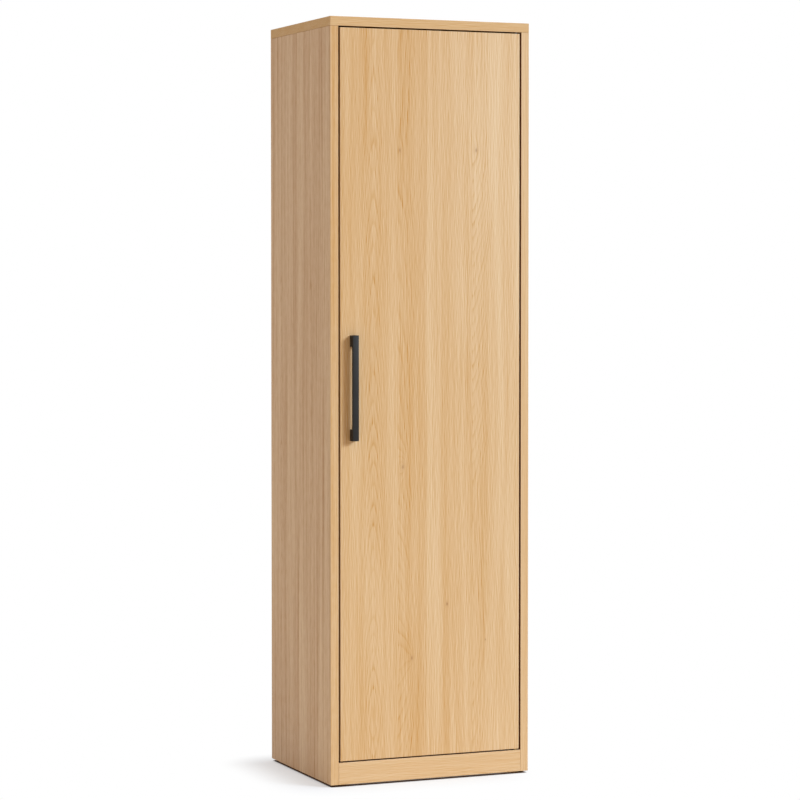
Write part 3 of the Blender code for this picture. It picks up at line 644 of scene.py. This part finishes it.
# %% Oak finishes
door_oak = oak("oak_door_leaves", "Y", "Z", "X", DOOR_LEAVES, DOOR_KNOTS, DOOR_TONES_SHEEN_AND_SHADE, carcass=False)
side_looks = dict(shade=0.30, coarse=1.8, stretch=2.0, pair=SIDE_PAIR, patches=SIDE_PAINTED_SHADE)
left_oak = oak(
    "oak_left_side", "X", "Z", "Y", SIDE_LEAVES, edge=0.32, lines=SIDE_GRAIN, **side_looks)
next_leaves = [
    leaf._replace(start=leaf.start + NEXT_CUT, heart=leaf.heart + NEXT_CUT) for leaf in SIDE_LEAVES]
right_oak = oak(
    "oak_right_side", "X", "Z", "Y", next_leaves, edge=0.16, lines=SUNNY_GRAIN, **side_looks)
lying_oak = oak("oak_lying_boards", "Z", "X", "Y", CROSS_LEAVES, shade=0.36, edge=0.2, gloss=0.0)
upright_oak = oak("oak_plinth_and_rail", "Y", "X", "Z", CROSS_LEAVES, shade=0.13, lines=CALM_GRAIN)
print("oak finishes:", door_oak.name, left_oak.name, right_oak.name, lying_oak.name, upright_oak.name)


# %% Dress the boards
def dress(material, *names):
    """Give nodes that keep their solid a finish of their own."""
    for name in names:
        slots = nodes[name].data.materials
        slots.clear()
        slots.append(material)
    print(material.name, "on", len(names), "nodes")


dress(door_oak, "door_panel")
dress(left_oak, "left_side_panel")
dress(right_oak, "right_side_panel")
dress(lying_oak, "top_panel", "floor_panel", "hat_shelf")
dress(upright_oak, "front_plinth", "rear_plinth", "hook_rail")

# %% [markdown]
# ## Finishes of the hardware
# The handle and hooks are steel under black powder coat. Powder melts into a skin with a fine
# ripple, which breaks up its gloss, and a flat dark colour would look like a hole in the picture.
# Screws and pins are zinc plated, so they are metal with a faintly mottled, drawn surface. The feet
# and the catch are moulded plastic with a fine spark-eroded texture. Each finish is a small sum of
# noises in the piece's own coordinates, so nothing has to be unwrapped.

# %% Powder coat, nylon, plastic
def mottle(tree, scale, detail=2.0, stretch=(1, 1, 1)):
    """Noise in a piece's own coordinates, with so many features to the metre along each axis."""
    place = tree.axes("Object")
    return tree.noise(*(place[axis] * (scale * share) for axis, share in zip("XYZ", stretch)), detail)


def moulded(name, colour, other, ripple, depth, roughness):
    """A coated or moulded surface: two near colours, a ripple by scale and depth, and a roughness."""
    tree = finish_tree(name)
    peel = mottle(tree, ripple)
    cloud = tree.between(mottle(tree, 45, 3.0), 0.35, 0.7)
    return tree.surface(
        height=peel,
        depth=depth,
        Base_Color=tree.mix(cloud * 0.7 + peel * 0.3, colour, other),
        Roughness=roughness + (peel - 0.5) * 0.22 + cloud * 0.05,
        Specular_IOR_Level=0.26,
    )


powder_coat = moulded("black_powder_coat", (0.0106, 0.0096, 0.0088, 1), (0.0164, 0.0150, 0.0140, 1),
                      ripple=1500, depth=0.00004, roughness=0.48)
nylon = moulded("black_nylon_glide", (0.014, 0.014, 0.015, 1), (0.03, 0.029, 0.028, 1),
                ripple=2600, depth=0.00005, roughness=0.5)
white_plastic = moulded("white_catch_plastic", (0.80, 0.79, 0.755, 1), (0.74, 0.725, 0.68, 1),
                        ripple=3200, depth=0.00003, roughness=0.42)
ferrite = moulded("dark_ferrite", (0.035, 0.034, 0.036, 1), (0.07, 0.068, 0.07, 1),
                  ripple=1800, depth=0.00008, roughness=0.6)
print("moulded finishes:", powder_coat.name, nylon.name, white_plastic.name, ferrite.name)


# %% Zinc and brass
def drawn_metal(name, colour, other, roughness):
    """Plated or drawn metal: fine lines along the piece and a cloudy second tint."""
    tree = finish_tree(name)
    lines = mottle(tree, 2600, 2.0, (1, 1, 0.12))
    cloud = tree.between(mottle(tree, 240, 3.0), 0.3, 0.7)
    return tree.surface(
        height=lines,
        depth=0.00001,
        Base_Color=tree.mix(cloud, colour, other),
        Metallic=1.0,
        Roughness=roughness + lines * 0.14 + cloud * 0.10,
    )


zinc = drawn_metal("zinc_plate", (0.60, 0.60, 0.585, 1), (0.49, 0.505, 0.53, 1), 0.20)
dull_zinc = drawn_metal("dull_zinc_plate", (0.30, 0.295, 0.285, 1), (0.21, 0.21, 0.215, 1), 0.34)
brass = drawn_metal("drawn_brass", (0.58, 0.42, 0.19, 1), (0.42, 0.28, 0.12, 1), 0.24)
print("metal finishes:", zinc.name, dull_zinc.name, brass.name)


# %% Beech
def beech():
    """Steamed beech: pinkish, with short dark flecks along its length."""
    tree = finish_tree("steamed_beech")
    fleck = tree.between(mottle(tree, 900, 1.0, (1, 1, 0.16)), 0.58, 0.68)
    shade = mottle(tree, 380, 2.0, (1, 1, 0.06))
    colour = tree.mix(shade, (0.68, 0.46, 0.30, 1), (0.54, 0.33, 0.19, 1))
    colour = tree.mix(fleck * 0.6, colour, (0.30, 0.155, 0.075, 1))
    roughness = 0.62 + fleck * 0.15
    return tree.surface(height=shade - fleck, depth=0.00005, Base_Color=colour, Roughness=roughness)


beech_wood = beech()
print("beech finish:", beech_wood.name)

# %% [markdown]
# ## Modelling small pieces
# A screw, a pin or a foot is turned, so it can be built as a skin over level rings of points. A
# thread is the same skin with a radius that also depends on the angle. They are drawn in
# millimetres round their own axis, because Booleans work best on numbers near one, and shrunk to
# metres at the end. A Screw modifier would make the plain ones too, but not the threads.

# %% Skins over rings
MM = 0.001


def close_rings(shape, rings, hollow=False):
    """Faces between neighbouring rings, with flat ends, or joined end to end for a hollow ring."""
    pairs = list(zip(rings, rings[1:]))
    if hollow:
        pairs.append((rings[-1], rings[0]))
    for low, high in pairs:
        for step in range(len(low)):
            after = (step + 1) % len(low)
            shape.faces.new((low[step], low[after], high[after], high[step]))
    if not hollow:
        shape.faces.new(rings[0][::-1])
        shape.faces.new(rings[-1])
    bmesh.ops.recalc_face_normals(shape, faces=shape.faces)


def skin(levels, count=36, hollow=False):
    """A turned shape. A level is a height and a radius, or a function that gives one by angle."""
    shape = bmesh.new()
    rings = []
    for height, radius in levels:
        ring = []
        for step in range(count):
            angle = math.tau * step / count
            reach = radius(angle) if callable(radius) else radius
            ring.append(shape.verts.new((reach * math.cos(angle), reach * math.sin(angle), height)))
        rings.append(ring)
    close_rings(shape, rings, hollow)
    return shape


def rim(height, radius, ease, top):
    """The levels of a rounded edge, in the order in which they climb."""
    turns = [math.radians(22.5 * step) for step in range(5)]
    side = 1 if top else -1
    levels = [(height + side * ease * (math.sin(t) - 1), radius - ease + ease * math.cos(t)) for t in turns]
    return levels if top else levels[::-1]


print("turning helpers ready")


# %% Booleans, meshes and pieces
SHARP_EDGE = math.radians(38)


def boolean(shape, tool, operation):
    """Join or cut one shape by another, and give back the result."""
    blanks = []
    for each in (shape, tool):
        mesh = bpy.data.meshes.new("blank")
        each.to_mesh(mesh)
        each.free()
        blanks.append(bpy.data.objects.new("blank", mesh))
        bpy.context.scene.collection.objects.link(blanks[-1])
    step = blanks[0].modifiers.new("step", "BOOLEAN")
    step.operation = operation
    step.object = blanks[1]
    solid = blanks[0].evaluated_get(bpy.context.evaluated_depsgraph_get())
    result = bmesh.new()
    result.from_mesh(solid.data)
    for blank in blanks:
        bpy.data.objects.remove(blank)
    return result


def as_mesh(name, shape, finish, scale=MM):
    """A finished mesh in metres, shaded smooth except at its sharp edges."""
    bmesh.ops.scale(shape, vec=(scale, scale, scale), verts=shape.verts)
    mesh = bpy.data.meshes.new(name)
    shape.to_mesh(mesh)
    shape.free()
    mesh.materials.append(finish)
    mesh.shade_smooth()
    mesh.set_sharp_from_angle(angle=SHARP_EDGE)
    return mesh


def set_piece(name, mesh, body, stands_for=(), place=None):
    """Put a piece in the scene, hang it from the empty of the body that carries it, and hide what it stands
    for.
    """
    made = bpy.data.objects.new(name, mesh)
    made.matrix_world = place or Matrix.Identity(4)
    bpy.context.scene.collection.objects.link(made)
    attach(made, body)
    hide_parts(*stands_for)
    return made


def end_of(node, toward):
    """The place where a node's box ends in a direction, turned so that its own Z points that way."""
    low, high = (Vector(corner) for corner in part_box(node))
    half = (high - low) / 2
    reach = sum(abs(part * size) for part, size in zip(toward, half))
    spot = (low + high) / 2 + Vector(toward) * reach
    return Matrix.Translation(spot) @ Vector(toward).to_track_quat("Z", "Y").to_matrix().to_4x4()


print("piece helpers ready")

# %% [markdown]
# ## Handle
# The handle is a flat bar on two square feet, welded and coated as one piece. Its side view is one
# outline, so it is drawn as that outline, given the bar's width, and rounded on every edge by the
# thickness of the coat. Three boxes would show seams that the coat covers on the real one.

# %% Handle
HANDLE_EDGE = 0.0007


def handle_shape():
    """The side view of the bar and its feet as one outline, given the bar's width and rounded."""
    bar_low, bar_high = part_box("handle_bar")
    post_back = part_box("handle_post_lower")[1][1]
    post_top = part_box("handle_post_lower")[1][2]
    post_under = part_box("handle_post_upper")[0][2]
    front, back = bar_low[1], bar_high[1]
    bottom, top = bar_low[2], bar_high[2]
    outline = [
        (front, bottom), (post_back, bottom), (post_back, post_top), (back, post_top),
        (back, post_under), (post_back, post_under), (post_back, top), (front, top),
    ]
    shape = bmesh.new()
    face = shape.faces.new([shape.verts.new((bar_low[0], y, z)) for y, z in outline])
    grown = bmesh.ops.extrude_face_region(shape, geom=[face])
    corners = [part for part in grown["geom"] if isinstance(part, bmesh.types.BMVert)]
    bmesh.ops.translate(shape, vec=(bar_high[0] - bar_low[0], 0, 0), verts=corners)
    bmesh.ops.recalc_face_normals(shape, faces=shape.faces)
    bmesh.ops.bevel(
        shape, geom=shape.edges[:], offset=HANDLE_EDGE, segments=3, profile=0.5, affect="EDGES")
    return shape


handle_mesh = as_mesh("bar_handle", handle_shape(), powder_coat, scale=1)
set_piece("bar_handle", handle_mesh, "door",
          ("handle_bar", "handle_post_upper", "handle_post_lower"))
print("handle:", len(handle_mesh.vertices), "points")

# %% [markdown]
# ## Coat hooks
# Each hook is cast in one: a plate with round ends, and two prongs that leave it with a small fillet,
# turn upward and end in a ball that spares the cloth. A prong is a skin over rings that follow its
# bend, and the rings' radius makes the fillet, the wire and the ball. A curve with a round bevel
# would follow the bend as well, but it would need the ball and the fillet as extra pieces. The prongs
# are joined to the plate by a Boolean, and the same tool drills its two screw holes.

# %% Prong
Prong = namedtuple("Prong", "height run bend")
PRONGS = (Prong(16, 14, 24), Prong(-14, 7, 13))
PRONG_TURN = math.radians(80)
PLATE_SIZE = Vector((24, 3, 66))
WIRE, BALL = 3.6, 5.8
FILLET, FILLET_RUN = 1.7, 1.4
ROOT, RING_STEP, PRONG_SIDES = 1.0, 0.9, 24
HOLE_SPACING, HOLE = 50, 1.6


def prong_shape(prong):
    """A prong that leaves the plate along -Y and turns up, in millimetres from the plate's front."""
    arc = prong.bend * PRONG_TURN
    length = prong.run + arc
    neck = length - math.sqrt(BALL * BALL - WIRE * WIRE)
    stops = [RING_STEP * step - ROOT for step in range(int((neck + ROOT) / RING_STEP))]
    stops += [length - BALL * math.cos(math.radians(turn)) for turn in range(42, 176, 8)]
    shape = bmesh.new()
    rings = []
    for stop in sorted(stops):
        angle = max(0.0, min(stop - prong.run, arc)) / prong.bend
        ahead = Vector((0, -math.cos(angle), math.sin(angle)))
        above = Vector((0, math.sin(angle), math.cos(angle)))
        spot = Vector((0, -min(stop, prong.run), prong.height))
        spot += prong.bend * Vector((0, -math.sin(angle), 1 - math.cos(angle)))
        spot += ahead * max(0.0, stop - length)
        ball = math.sqrt(max(0.0, BALL ** 2 - (stop - length) ** 2))
        wire = WIRE + FILLET * math.exp(-max(stop, 0) / FILLET_RUN) if stop < length else 0
        radius = max(wire, ball)
        ring = []
        for step in range(PRONG_SIDES):
            turn = math.tau * step / PRONG_SIDES
            aside = math.cos(turn) * Vector((1, 0, 0)) + math.sin(turn) * above
            ring.append(shape.verts.new(spot + radius * aside))
        rings.append(ring)
    close_rings(shape, rings)
    return shape


print("prongs:", PRONGS)


# %% Hook plate, and the whole hook
def hook_plate():
    """A plate with round ends and an eased front edge. Its front lies at zero, in millimetres."""
    shape = bmesh.new()
    bmesh.ops.create_cube(shape, size=1)
    bmesh.ops.scale(shape, vec=PLATE_SIZE, verts=shape.verts)
    bmesh.ops.translate(shape, vec=(0, PLATE_SIZE.y / 2, 0), verts=shape.verts)
    corners = [e for e in shape.edges if abs(e.verts[0].co.y - e.verts[1].co.y) > 1]
    bmesh.ops.bevel(
        shape, geom=corners, offset=PLATE_SIZE.x * 0.45, segments=9, profile=0.5, affect="EDGES")
    front = [e for e in shape.edges if all(v.co.y < 0.01 for v in e.verts)]
    bmesh.ops.bevel(shape, geom=front, offset=0.9, segments=4, profile=0.5, affect="EDGES")
    return shape


def hole_tool(side):
    """A drill for the plate's upper or lower screw hole."""
    shape = skin([(-9, HOLE), (9, HOLE)], count=24)
    turn = Matrix.Rotation(math.radians(90), 4, "X")
    shift = Matrix.Translation((0, 0, side * HOLE_SPACING / 2))
    bmesh.ops.transform(shape, matrix=shift @ turn, verts=shape.verts)
    return shape


hook = hook_plate()
for prong in PRONGS:
    hook = boolean(hook, prong_shape(prong), "UNION")
for side in (1, -1):
    hook = boolean(hook, hole_tool(side), "DIFFERENCE")
hook_mesh = as_mesh("cast_coat_hook", hook, powder_coat)
rail_middle = sum(corner[2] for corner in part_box("hook_rail")) / 2
for side in ("left", "right"):
    low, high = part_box("coat_hook_" + side)
    spot = Vector(((low[0] + high[0]) / 2, high[1] - PLATE_SIZE.y * MM, rail_middle))
    set_piece("cast_coat_hook_" + side, hook_mesh, "carcass",
              ("coat_hook_" + side,), Matrix.Translation(spot))
print("coat hook:", len(hook_mesh.vertices), "points")

# %% [markdown]
# ## Screws
# Wood screws hold the hooks, the catch and the pivot plates, and two machine screws come through the
# door into the handle's feet. A screw hangs from the top of its head here, so the end of its node's
# box is all that is needed to place it. The thread is a ridge that climbs one pitch in a turn, and
# the cross recess is cut out of the head by a tapered tool. Relief in the material could fake both,
# but the shapes are also used without their materials.

# %% Screw shapes
# Shank and head are radii, and rise is how far a round head stands proud, all in millimetres.
Screw = namedtuple("Screw", "shank head rise length tip pitch countersunk")
THREAD_CORE, PLAIN_SHANK, PLAIN_SHARE = 0.72, 0.86, 0.15
RINGS_PER_TURN = 6


def thread(screw, height, foot):
    """The radius by angle at one height of a thread whose point is at the foot."""
    taper = max(0.12, min(1.0, (height - foot) / screw.tip))

    def radius(angle):
        climb = (height / screw.pitch - angle / math.tau) % 1.0
        ridge = max(0.0, 1 - abs(climb - 0.5) * 4)
        return screw.shank * (THREAD_CORE + (1 - THREAD_CORE) * ridge) * taper

    return radius


def cross_tool(arm, half, depth):
    """A tapered cross that cuts the recess of a screw head."""
    shape = bmesh.new()
    rings = []
    for height, share in ((-depth, 0.45), (0.4, 1.1)):
        ring = []
        for quarter in range(4):
            turn = Matrix.Rotation(math.radians(90 * quarter), 4, "Z")
            for x, y in ((arm, -half), (arm, half), (half, half)):
                ring.append(shape.verts.new(turn @ Vector((x * share, y * share, height))))
        rings.append(ring)
    close_rings(shape, rings)
    return shape


def screw_shape(screw):
    """A screw that hangs from the top of its head at zero, in millimetres."""
    neck = screw.shank - screw.head if screw.countersunk else -screw.rise
    foot = -screw.length if screw.countersunk else -screw.rise - screw.length
    plain = neck - PLAIN_SHARE * screw.length
    levels = []
    for step in range(int((plain - foot) / screw.pitch * RINGS_PER_TURN)):
        height = foot + step * screw.pitch / RINGS_PER_TURN
        levels.append((height, thread(screw, height, foot)))
    levels += [(plain, screw.shank * PLAIN_SHANK), (neck, screw.shank * PLAIN_SHANK)]
    if screw.countersunk:
        levels += [(-0.25, screw.head - 0.1), (-0.1, screw.head), (0, screw.head - 0.08)]
    else:
        levels += [(neck, screw.head - 0.15), (neck + 0.12, screw.head)]
        for step in range(6):
            turn = math.radians(18 * step)
            reach = screw.head * (0.42 + 0.58 * math.cos(turn))
            levels.append((0.62 * neck * (1 - math.sin(turn)), reach))
    depth = screw.head * 0.42 if screw.countersunk else screw.rise * 0.75
    recess = cross_tool(screw.head * 0.55, screw.head * 0.13, depth)
    return boolean(skin(levels, 28), recess, "DIFFERENCE")


print("screw forms ready")

# %% Put the screws in
HOOK_SCREW = Screw(1.4, 2.9, 1.6, 14, 3, 1.2, False)
CATCH_SCREW = Screw(1.4, 2.9, 1.6, 13, 3, 1.2, False)
HANDLE_SCREW = Screw(2.0, 4.0, 2.4, 28.3, 1.2, 0.8, False)
PIVOT_SCREW = Screw(1.4, 2.9, 0, 14, 3, 1.2, True)
STRIKE_SCREW = Screw(1.4, 2.9, 0, 12, 3, 1.2, True)
FRONTWARD, REARWARD, UPWARD, DOWNWARD = (0, -1, 0), (0, 1, 0), (0, 0, 1), (0, 0, -1)


def put_screws(screw, finish, body, heads):
    """One mesh for a kind of screw, and a piece for each node with the way its head faces."""
    mesh = as_mesh("threaded_screw", screw_shape(screw), finish)
    for node, facing in heads.items():
        set_piece("threaded_" + node, mesh, body, (node,), end_of(node, facing))
    print(len(heads), "screws of", len(mesh.vertices), "points each")


sides, ends = ("left", "right"), ("upper", "lower")
hook_heads = {f"coat_hook_{side}_screw_{end}": FRONTWARD for side in sides for end in ends}
put_screws(HOOK_SCREW, zinc, "carcass", hook_heads)
put_screws(CATCH_SCREW, zinc, "carcass", {f"catch_screw_{side}": DOWNWARD for side in sides})
put_screws(HANDLE_SCREW, zinc, "door", {f"handle_screw_{end}": REARWARD for end in ends})
put_screws(STRIKE_SCREW, zinc, "door", {"strike_screw": REARWARD})
pivot_heads = {f"bottom_pivot_screw_{number}": UPWARD for number in (1, 2)}
pivot_heads.update({f"top_pivot_screw_{number}": DOWNWARD for number in (1, 2)})
put_screws(PIVOT_SCREW, dull_zinc, "carcass", pivot_heads)

# %% [markdown]
# ## Pins, bushes, dowels and feet
# The door turns on two pins in brass bushes, over a brass washer. The shelf lies on four pins with
# a collar, the boards are joined by fluted dowels, and the locker stands on four nylon pads that are
# nailed on. All are turned, so each is a list of levels: rounded edges are what a stand-in lacks.

# %% Pivot pins, bushes and washer
PIN, FLANGE, FLANGE_HEIGHT = 2.0, 3.2, 1.2
BORE, BUSH, BUSH_HEIGHT = 2.2, 3.6, 12
WASHER, WASHER_HEIGHT = 5, 2.4


def put_turned(name, node, facing, levels, finish, body, count=36, hollow=False):
    """A turned piece whose top level lies at the end of its node."""
    mesh = as_mesh(name, skin(levels, count, hollow), finish)
    return set_piece(name, mesh, body, (node,), end_of(node, facing))


def length_of(node):
    """The longest side of a node's box, in millimetres."""
    return max(high - low for low, high in zip(*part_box(node))) / MM


for end, facing in (("bottom", UPWARD), ("top", DOWNWARD)):
    foot = -length_of(end + "_pivot_pin")
    levels = rim(foot, FLANGE, 0.25, False) + rim(foot + FLANGE_HEIGHT, FLANGE, 0.2, True)
    levels += [(foot + FLANGE_HEIGHT, PIN)] + rim(0, PIN, 0.6, True)
    put_turned(end + "_turned_pin", end + "_pivot_pin", facing, levels, dull_zinc, "carcass")
    levels = [(-BUSH_HEIGHT, BORE)] + rim(-BUSH_HEIGHT, BUSH, 0.4, False)
    levels += rim(0, BUSH, 0.2, True) + [(0, BORE + 0.3), (-0.3, BORE)]
    put_turned(end + "_turned_bush", end + "_bush", tuple(-part for part in facing), levels,
               brass, "door", hollow=True)
levels = [(-WASHER_HEIGHT, BORE)] + rim(-WASHER_HEIGHT, WASHER, 0.3, False)
levels += rim(0, WASHER, 0.3, True) + [(0, BORE)]
put_turned("turned_washer", "bottom_washer", UPWARD, levels, brass, "carcass", hollow=True)
print("pivot pins, bushes and washer turned")

# %% Shelf pins
SHELF_PIN, COLLAR = 2.5, 4
PIN_FOOT, COLLAR_LOW, COLLAR_TOP = -20, -11, -10
RIGHTWARD, LEFTWARD = (1, 0, 0), (-1, 0, 0)

pin_levels = rim(PIN_FOOT, SHELF_PIN, 0.4, False) + [(COLLAR_LOW, SHELF_PIN)]
pin_levels += rim(COLLAR_LOW, COLLAR, 0.25, False) + rim(COLLAR_TOP, COLLAR, 0.25, True)
pin_levels += [(COLLAR_TOP, SHELF_PIN)] + rim(0, SHELF_PIN, 0.7, True)
for side, facing in (("left", RIGHTWARD), ("right", LEFTWARD)):
    for end in ("front", "rear"):
        node = f"shelf_pin_{end}_{side}"
        put_turned("turned_" + node, node, facing, pin_levels, zinc, "carcass")
print("shelf pins: 4")

# %% Fluted dowels
FLUTES, FLUTE_DEPTH = 14, 0.35
DOWEL, DOWEL_END = 4.0, 3.0


def flute(radius):
    """A dowel's radius by angle, with narrow grooves that let the glue out."""
    return lambda angle: radius - FLUTE_DEPTH * (0.5 + 0.5 * math.cos(FLUTES * angle)) ** 3


dowel_nodes = {}
for side in ("left", "right"):
    for end in ("front", "rear"):
        dowel_nodes[f"top_dowel_{end}_{side}"] = UPWARD
        dowel_nodes[f"floor_dowel_{end}_{side}"] = RIGHTWARD
    for board in ("front_plinth", "rear_plinth", "hook_rail"):
        dowel_nodes[f"{board}_dowel_{side}"] = RIGHTWARD
dowel_length = length_of("hook_rail_dowel_left")
dowel_levels = [(-dowel_length, flute(DOWEL_END)), (1 - dowel_length, flute(DOWEL))]
dowel_levels += [(-1, flute(DOWEL)), (0, flute(DOWEL_END))]
dowel_mesh = as_mesh("fluted_dowel", skin(dowel_levels, FLUTES * 8), beech_wood)
for node, facing in dowel_nodes.items():
    set_piece("fluted_" + node, dowel_mesh, "carcass", (node,), end_of(node, facing))
print("dowels:", len(dowel_nodes), "with", FLUTES, "flutes")

# %% Feet and their nails
PAD, PAD_HEIGHT = 12, 4.7
NAIL, NAIL_HEAD, NAIL_TOP = 1.5, 2.9, 15.0

pad_levels = [(0.7, 2.0), (0.7, 3.6), (0, 4.4)] + rim(0, PAD, 1.3, False)
pad_levels += [(3.3, PAD), (3.6, PAD - 0.3), (3.9, PAD)] + rim(PAD_HEIGHT, PAD, 0.25, True)
pad_mesh = as_mesh("nylon_pad", skin(pad_levels, 48), nylon)
nail_levels = rim(0.25, NAIL_HEAD, 0.2, False)
nail_levels += [(0.68, NAIL_HEAD), (0.68, NAIL), (13, NAIL), (NAIL_TOP, 0.15)]
nail_mesh = as_mesh("pad_nail", skin(nail_levels, 20), zinc)
for side in ("left", "right"):
    for end in ("front", "rear"):
        node = f"foot_{end}_{side}"
        low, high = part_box(node)
        spot = Matrix.Translation(((low[0] + high[0]) / 2, (low[1] + high[1]) / 2, low[2]))
        set_piece(f"nylon_pad_{end}_{side}", pad_mesh, "carcass", (node,), spot)
        set_piece(f"pad_nail_{end}_{side}", nail_mesh, "carcass", (), spot)
print("feet: 4 pads and 4 nails")

# %% [markdown]
# ## Magnetic catch
# A magnet between two steel plates sits in a white plastic case under the top. The plates stand a
# hair proud of the case and meet the strike plate on the door. The case is two eased blocks joined,
# with a window cut in its front, ribs on its sides that hide sink marks, and slots for the screws.
# A plain block would do while the door is shut, but the open door shows the catch at eye level.

# %% Catch housing
EASE = 0.7
CASE_WIDTH = 28
RIBS = (-3.2, 0, 3.2)
SCREW_SLOT, SLOT_ASIDE = 1.7, 5.5
WINDOW_WIDTH, WINDOW_HEIGHT, WINDOW_DEPTH = 22.4, 8.8, 3


def eased_block(low, high, ease):
    """A block between two corners, in millimetres, with every edge rounded."""
    low, high = Vector(low), Vector(high)
    shape = bmesh.new()
    bmesh.ops.create_cube(shape, size=1)
    bmesh.ops.scale(shape, vec=high - low, verts=shape.verts)
    bmesh.ops.translate(shape, vec=(low + high) / 2, verts=shape.verts)
    bmesh.ops.bevel(shape, geom=shape.edges[:], offset=ease, segments=3, profile=0.5, affect="EDGES")
    return shape


case = [Vector(corner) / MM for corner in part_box("catch_case")]
middle = (case[0] + case[1]) / 2
half = CASE_WIDTH / 2
front, rear = case[0].y - middle.y, case[1].y - middle.y
bottom, top = case[0].z - middle.z, case[1].z - middle.z
catch = eased_block((-half, front + 0.4, bottom), (half, rear, top), EASE)
wing = eased_block((case[0].x - middle.x, front + 0.9, top - 3.3),
                   (case[1].x - middle.x, rear - 0.8, top - 0.3), EASE)
catch = boolean(catch, wing, "UNION")
for side in (-1, 1):
    for y in RIBS:
        edge = side * half
        rib = eased_block((edge - 1, y - 0.5, bottom + 1), (edge + 1, y + 0.5, top - 2), 0.2)
        catch = boolean(catch, rib, "UNION")
    slot_tool = skin([(-9, SCREW_SLOT), (9, SCREW_SLOT)], 24)
    bmesh.ops.translate(slot_tool, vec=(side * (half + SLOT_ASIDE), 0, 0), verts=slot_tool.verts)
    catch = boolean(catch, slot_tool, "DIFFERENCE")
window = eased_block((-WINDOW_WIDTH / 2, front - 2, -WINDOW_HEIGHT / 2),
                     (WINDOW_WIDTH / 2, front + WINDOW_DEPTH, WINDOW_HEIGHT / 2), 0.3)
catch = boolean(catch, window, "DIFFERENCE")
catch_place = Matrix.Translation(middle * MM)
set_piece("catch_housing", as_mesh("catch_housing", catch, white_plastic), "carcass",
          ("catch_case",), catch_place)
print("catch housing:", CASE_WIDTH, "mm wide without its wings")

# %% Poles and magnet of the catch
POLE_LOW, POLE_HIGH, POLE_WIDTH = 2.5, 4.2, 22
MAGNET_HEIGHT, MAGNET_WIDTH, MAGNET_BACK = 4.9, 21.2, 0.5

inner = front + WINDOW_DEPTH
for name, low, high in (("upper", POLE_LOW, POLE_HIGH), ("lower", -POLE_HIGH, -POLE_LOW)):
    pole = eased_block((-POLE_WIDTH / 2, front, low), (POLE_WIDTH / 2, inner, high), 0.25)
    pole_mesh = as_mesh("catch_pole", pole, zinc)
    set_piece("catch_pole_" + name, pole_mesh, "carcass", (), catch_place)
magnet = eased_block((-MAGNET_WIDTH / 2, front + MAGNET_BACK, -MAGNET_HEIGHT / 2),
                     (MAGNET_WIDTH / 2, inner, MAGNET_HEIGHT / 2), 0.3)
magnet_mesh = as_mesh("catch_magnet", magnet, ferrite)
set_piece("catch_magnet", magnet_mesh, "carcass", (), catch_place)
print("catch: two poles and a magnet")

# %% [markdown]
# ## What keeps its solid
# The pivot plates and the strike plate are flat steel with round corners, so their solids are already
# right, and they only take a finish. The back panel is hardboard: smooth and printed like oak inside,
# and on the rear the brown, meshed face that the press leaves. One finish covers both, because the
# panel is a single solid, and picks its side by which way the surface faces.

# %% Plates
dress(dull_zinc, "bottom_pivot_plate", "top_pivot_plate")
dress(zinc, "strike_plate")


# %% Back panel
PRESS_MESH = 1900
HARDBOARD_LIGHT = (0.35, 0.205, 0.105, 1)
HARDBOARD_DARK = (0.13, 0.065, 0.03, 1)


def hardboard():
    """Oak print on the inside, and on the rear a mesh of waves over brown fibre."""
    tree = finish_tree("hardboard_back")
    colour, height, roughness = oak_colour(tree, "Y", "Z", "X", CROSS_LEAVES, shade=0.42, carcass=False)
    place = tree.axes("Object")
    rear = tree.axes("Normal")["Y"] > 0.5
    waves = [(place[axis] * PRESS_MESH).done("SINE") for axis in "XZ"]
    mesh = (waves[0] + waves[1]) * 0.25 + 0.5
    fibre = mottle(tree, 420, 4.0, (1, 1, 0.5))
    blotch = tree.between(mottle(tree, 14, 3.0), 0.3, 0.7)
    brown = tree.mix(fibre * 0.75 + blotch * 0.1 + mesh * 0.15, HARDBOARD_LIGHT, HARDBOARD_DARK)
    return tree.surface(
        height=height * (1 - rear) + (mesh + fibre) * rear * 2,
        depth=0.0001,
        Base_Color=tree.mix(rear, colour, brown),
        Roughness=roughness * (1 - rear) + rear * 0.78,
        Specular_IOR_Level=0.35,
    )


dress(hardboard(), "back_panel")
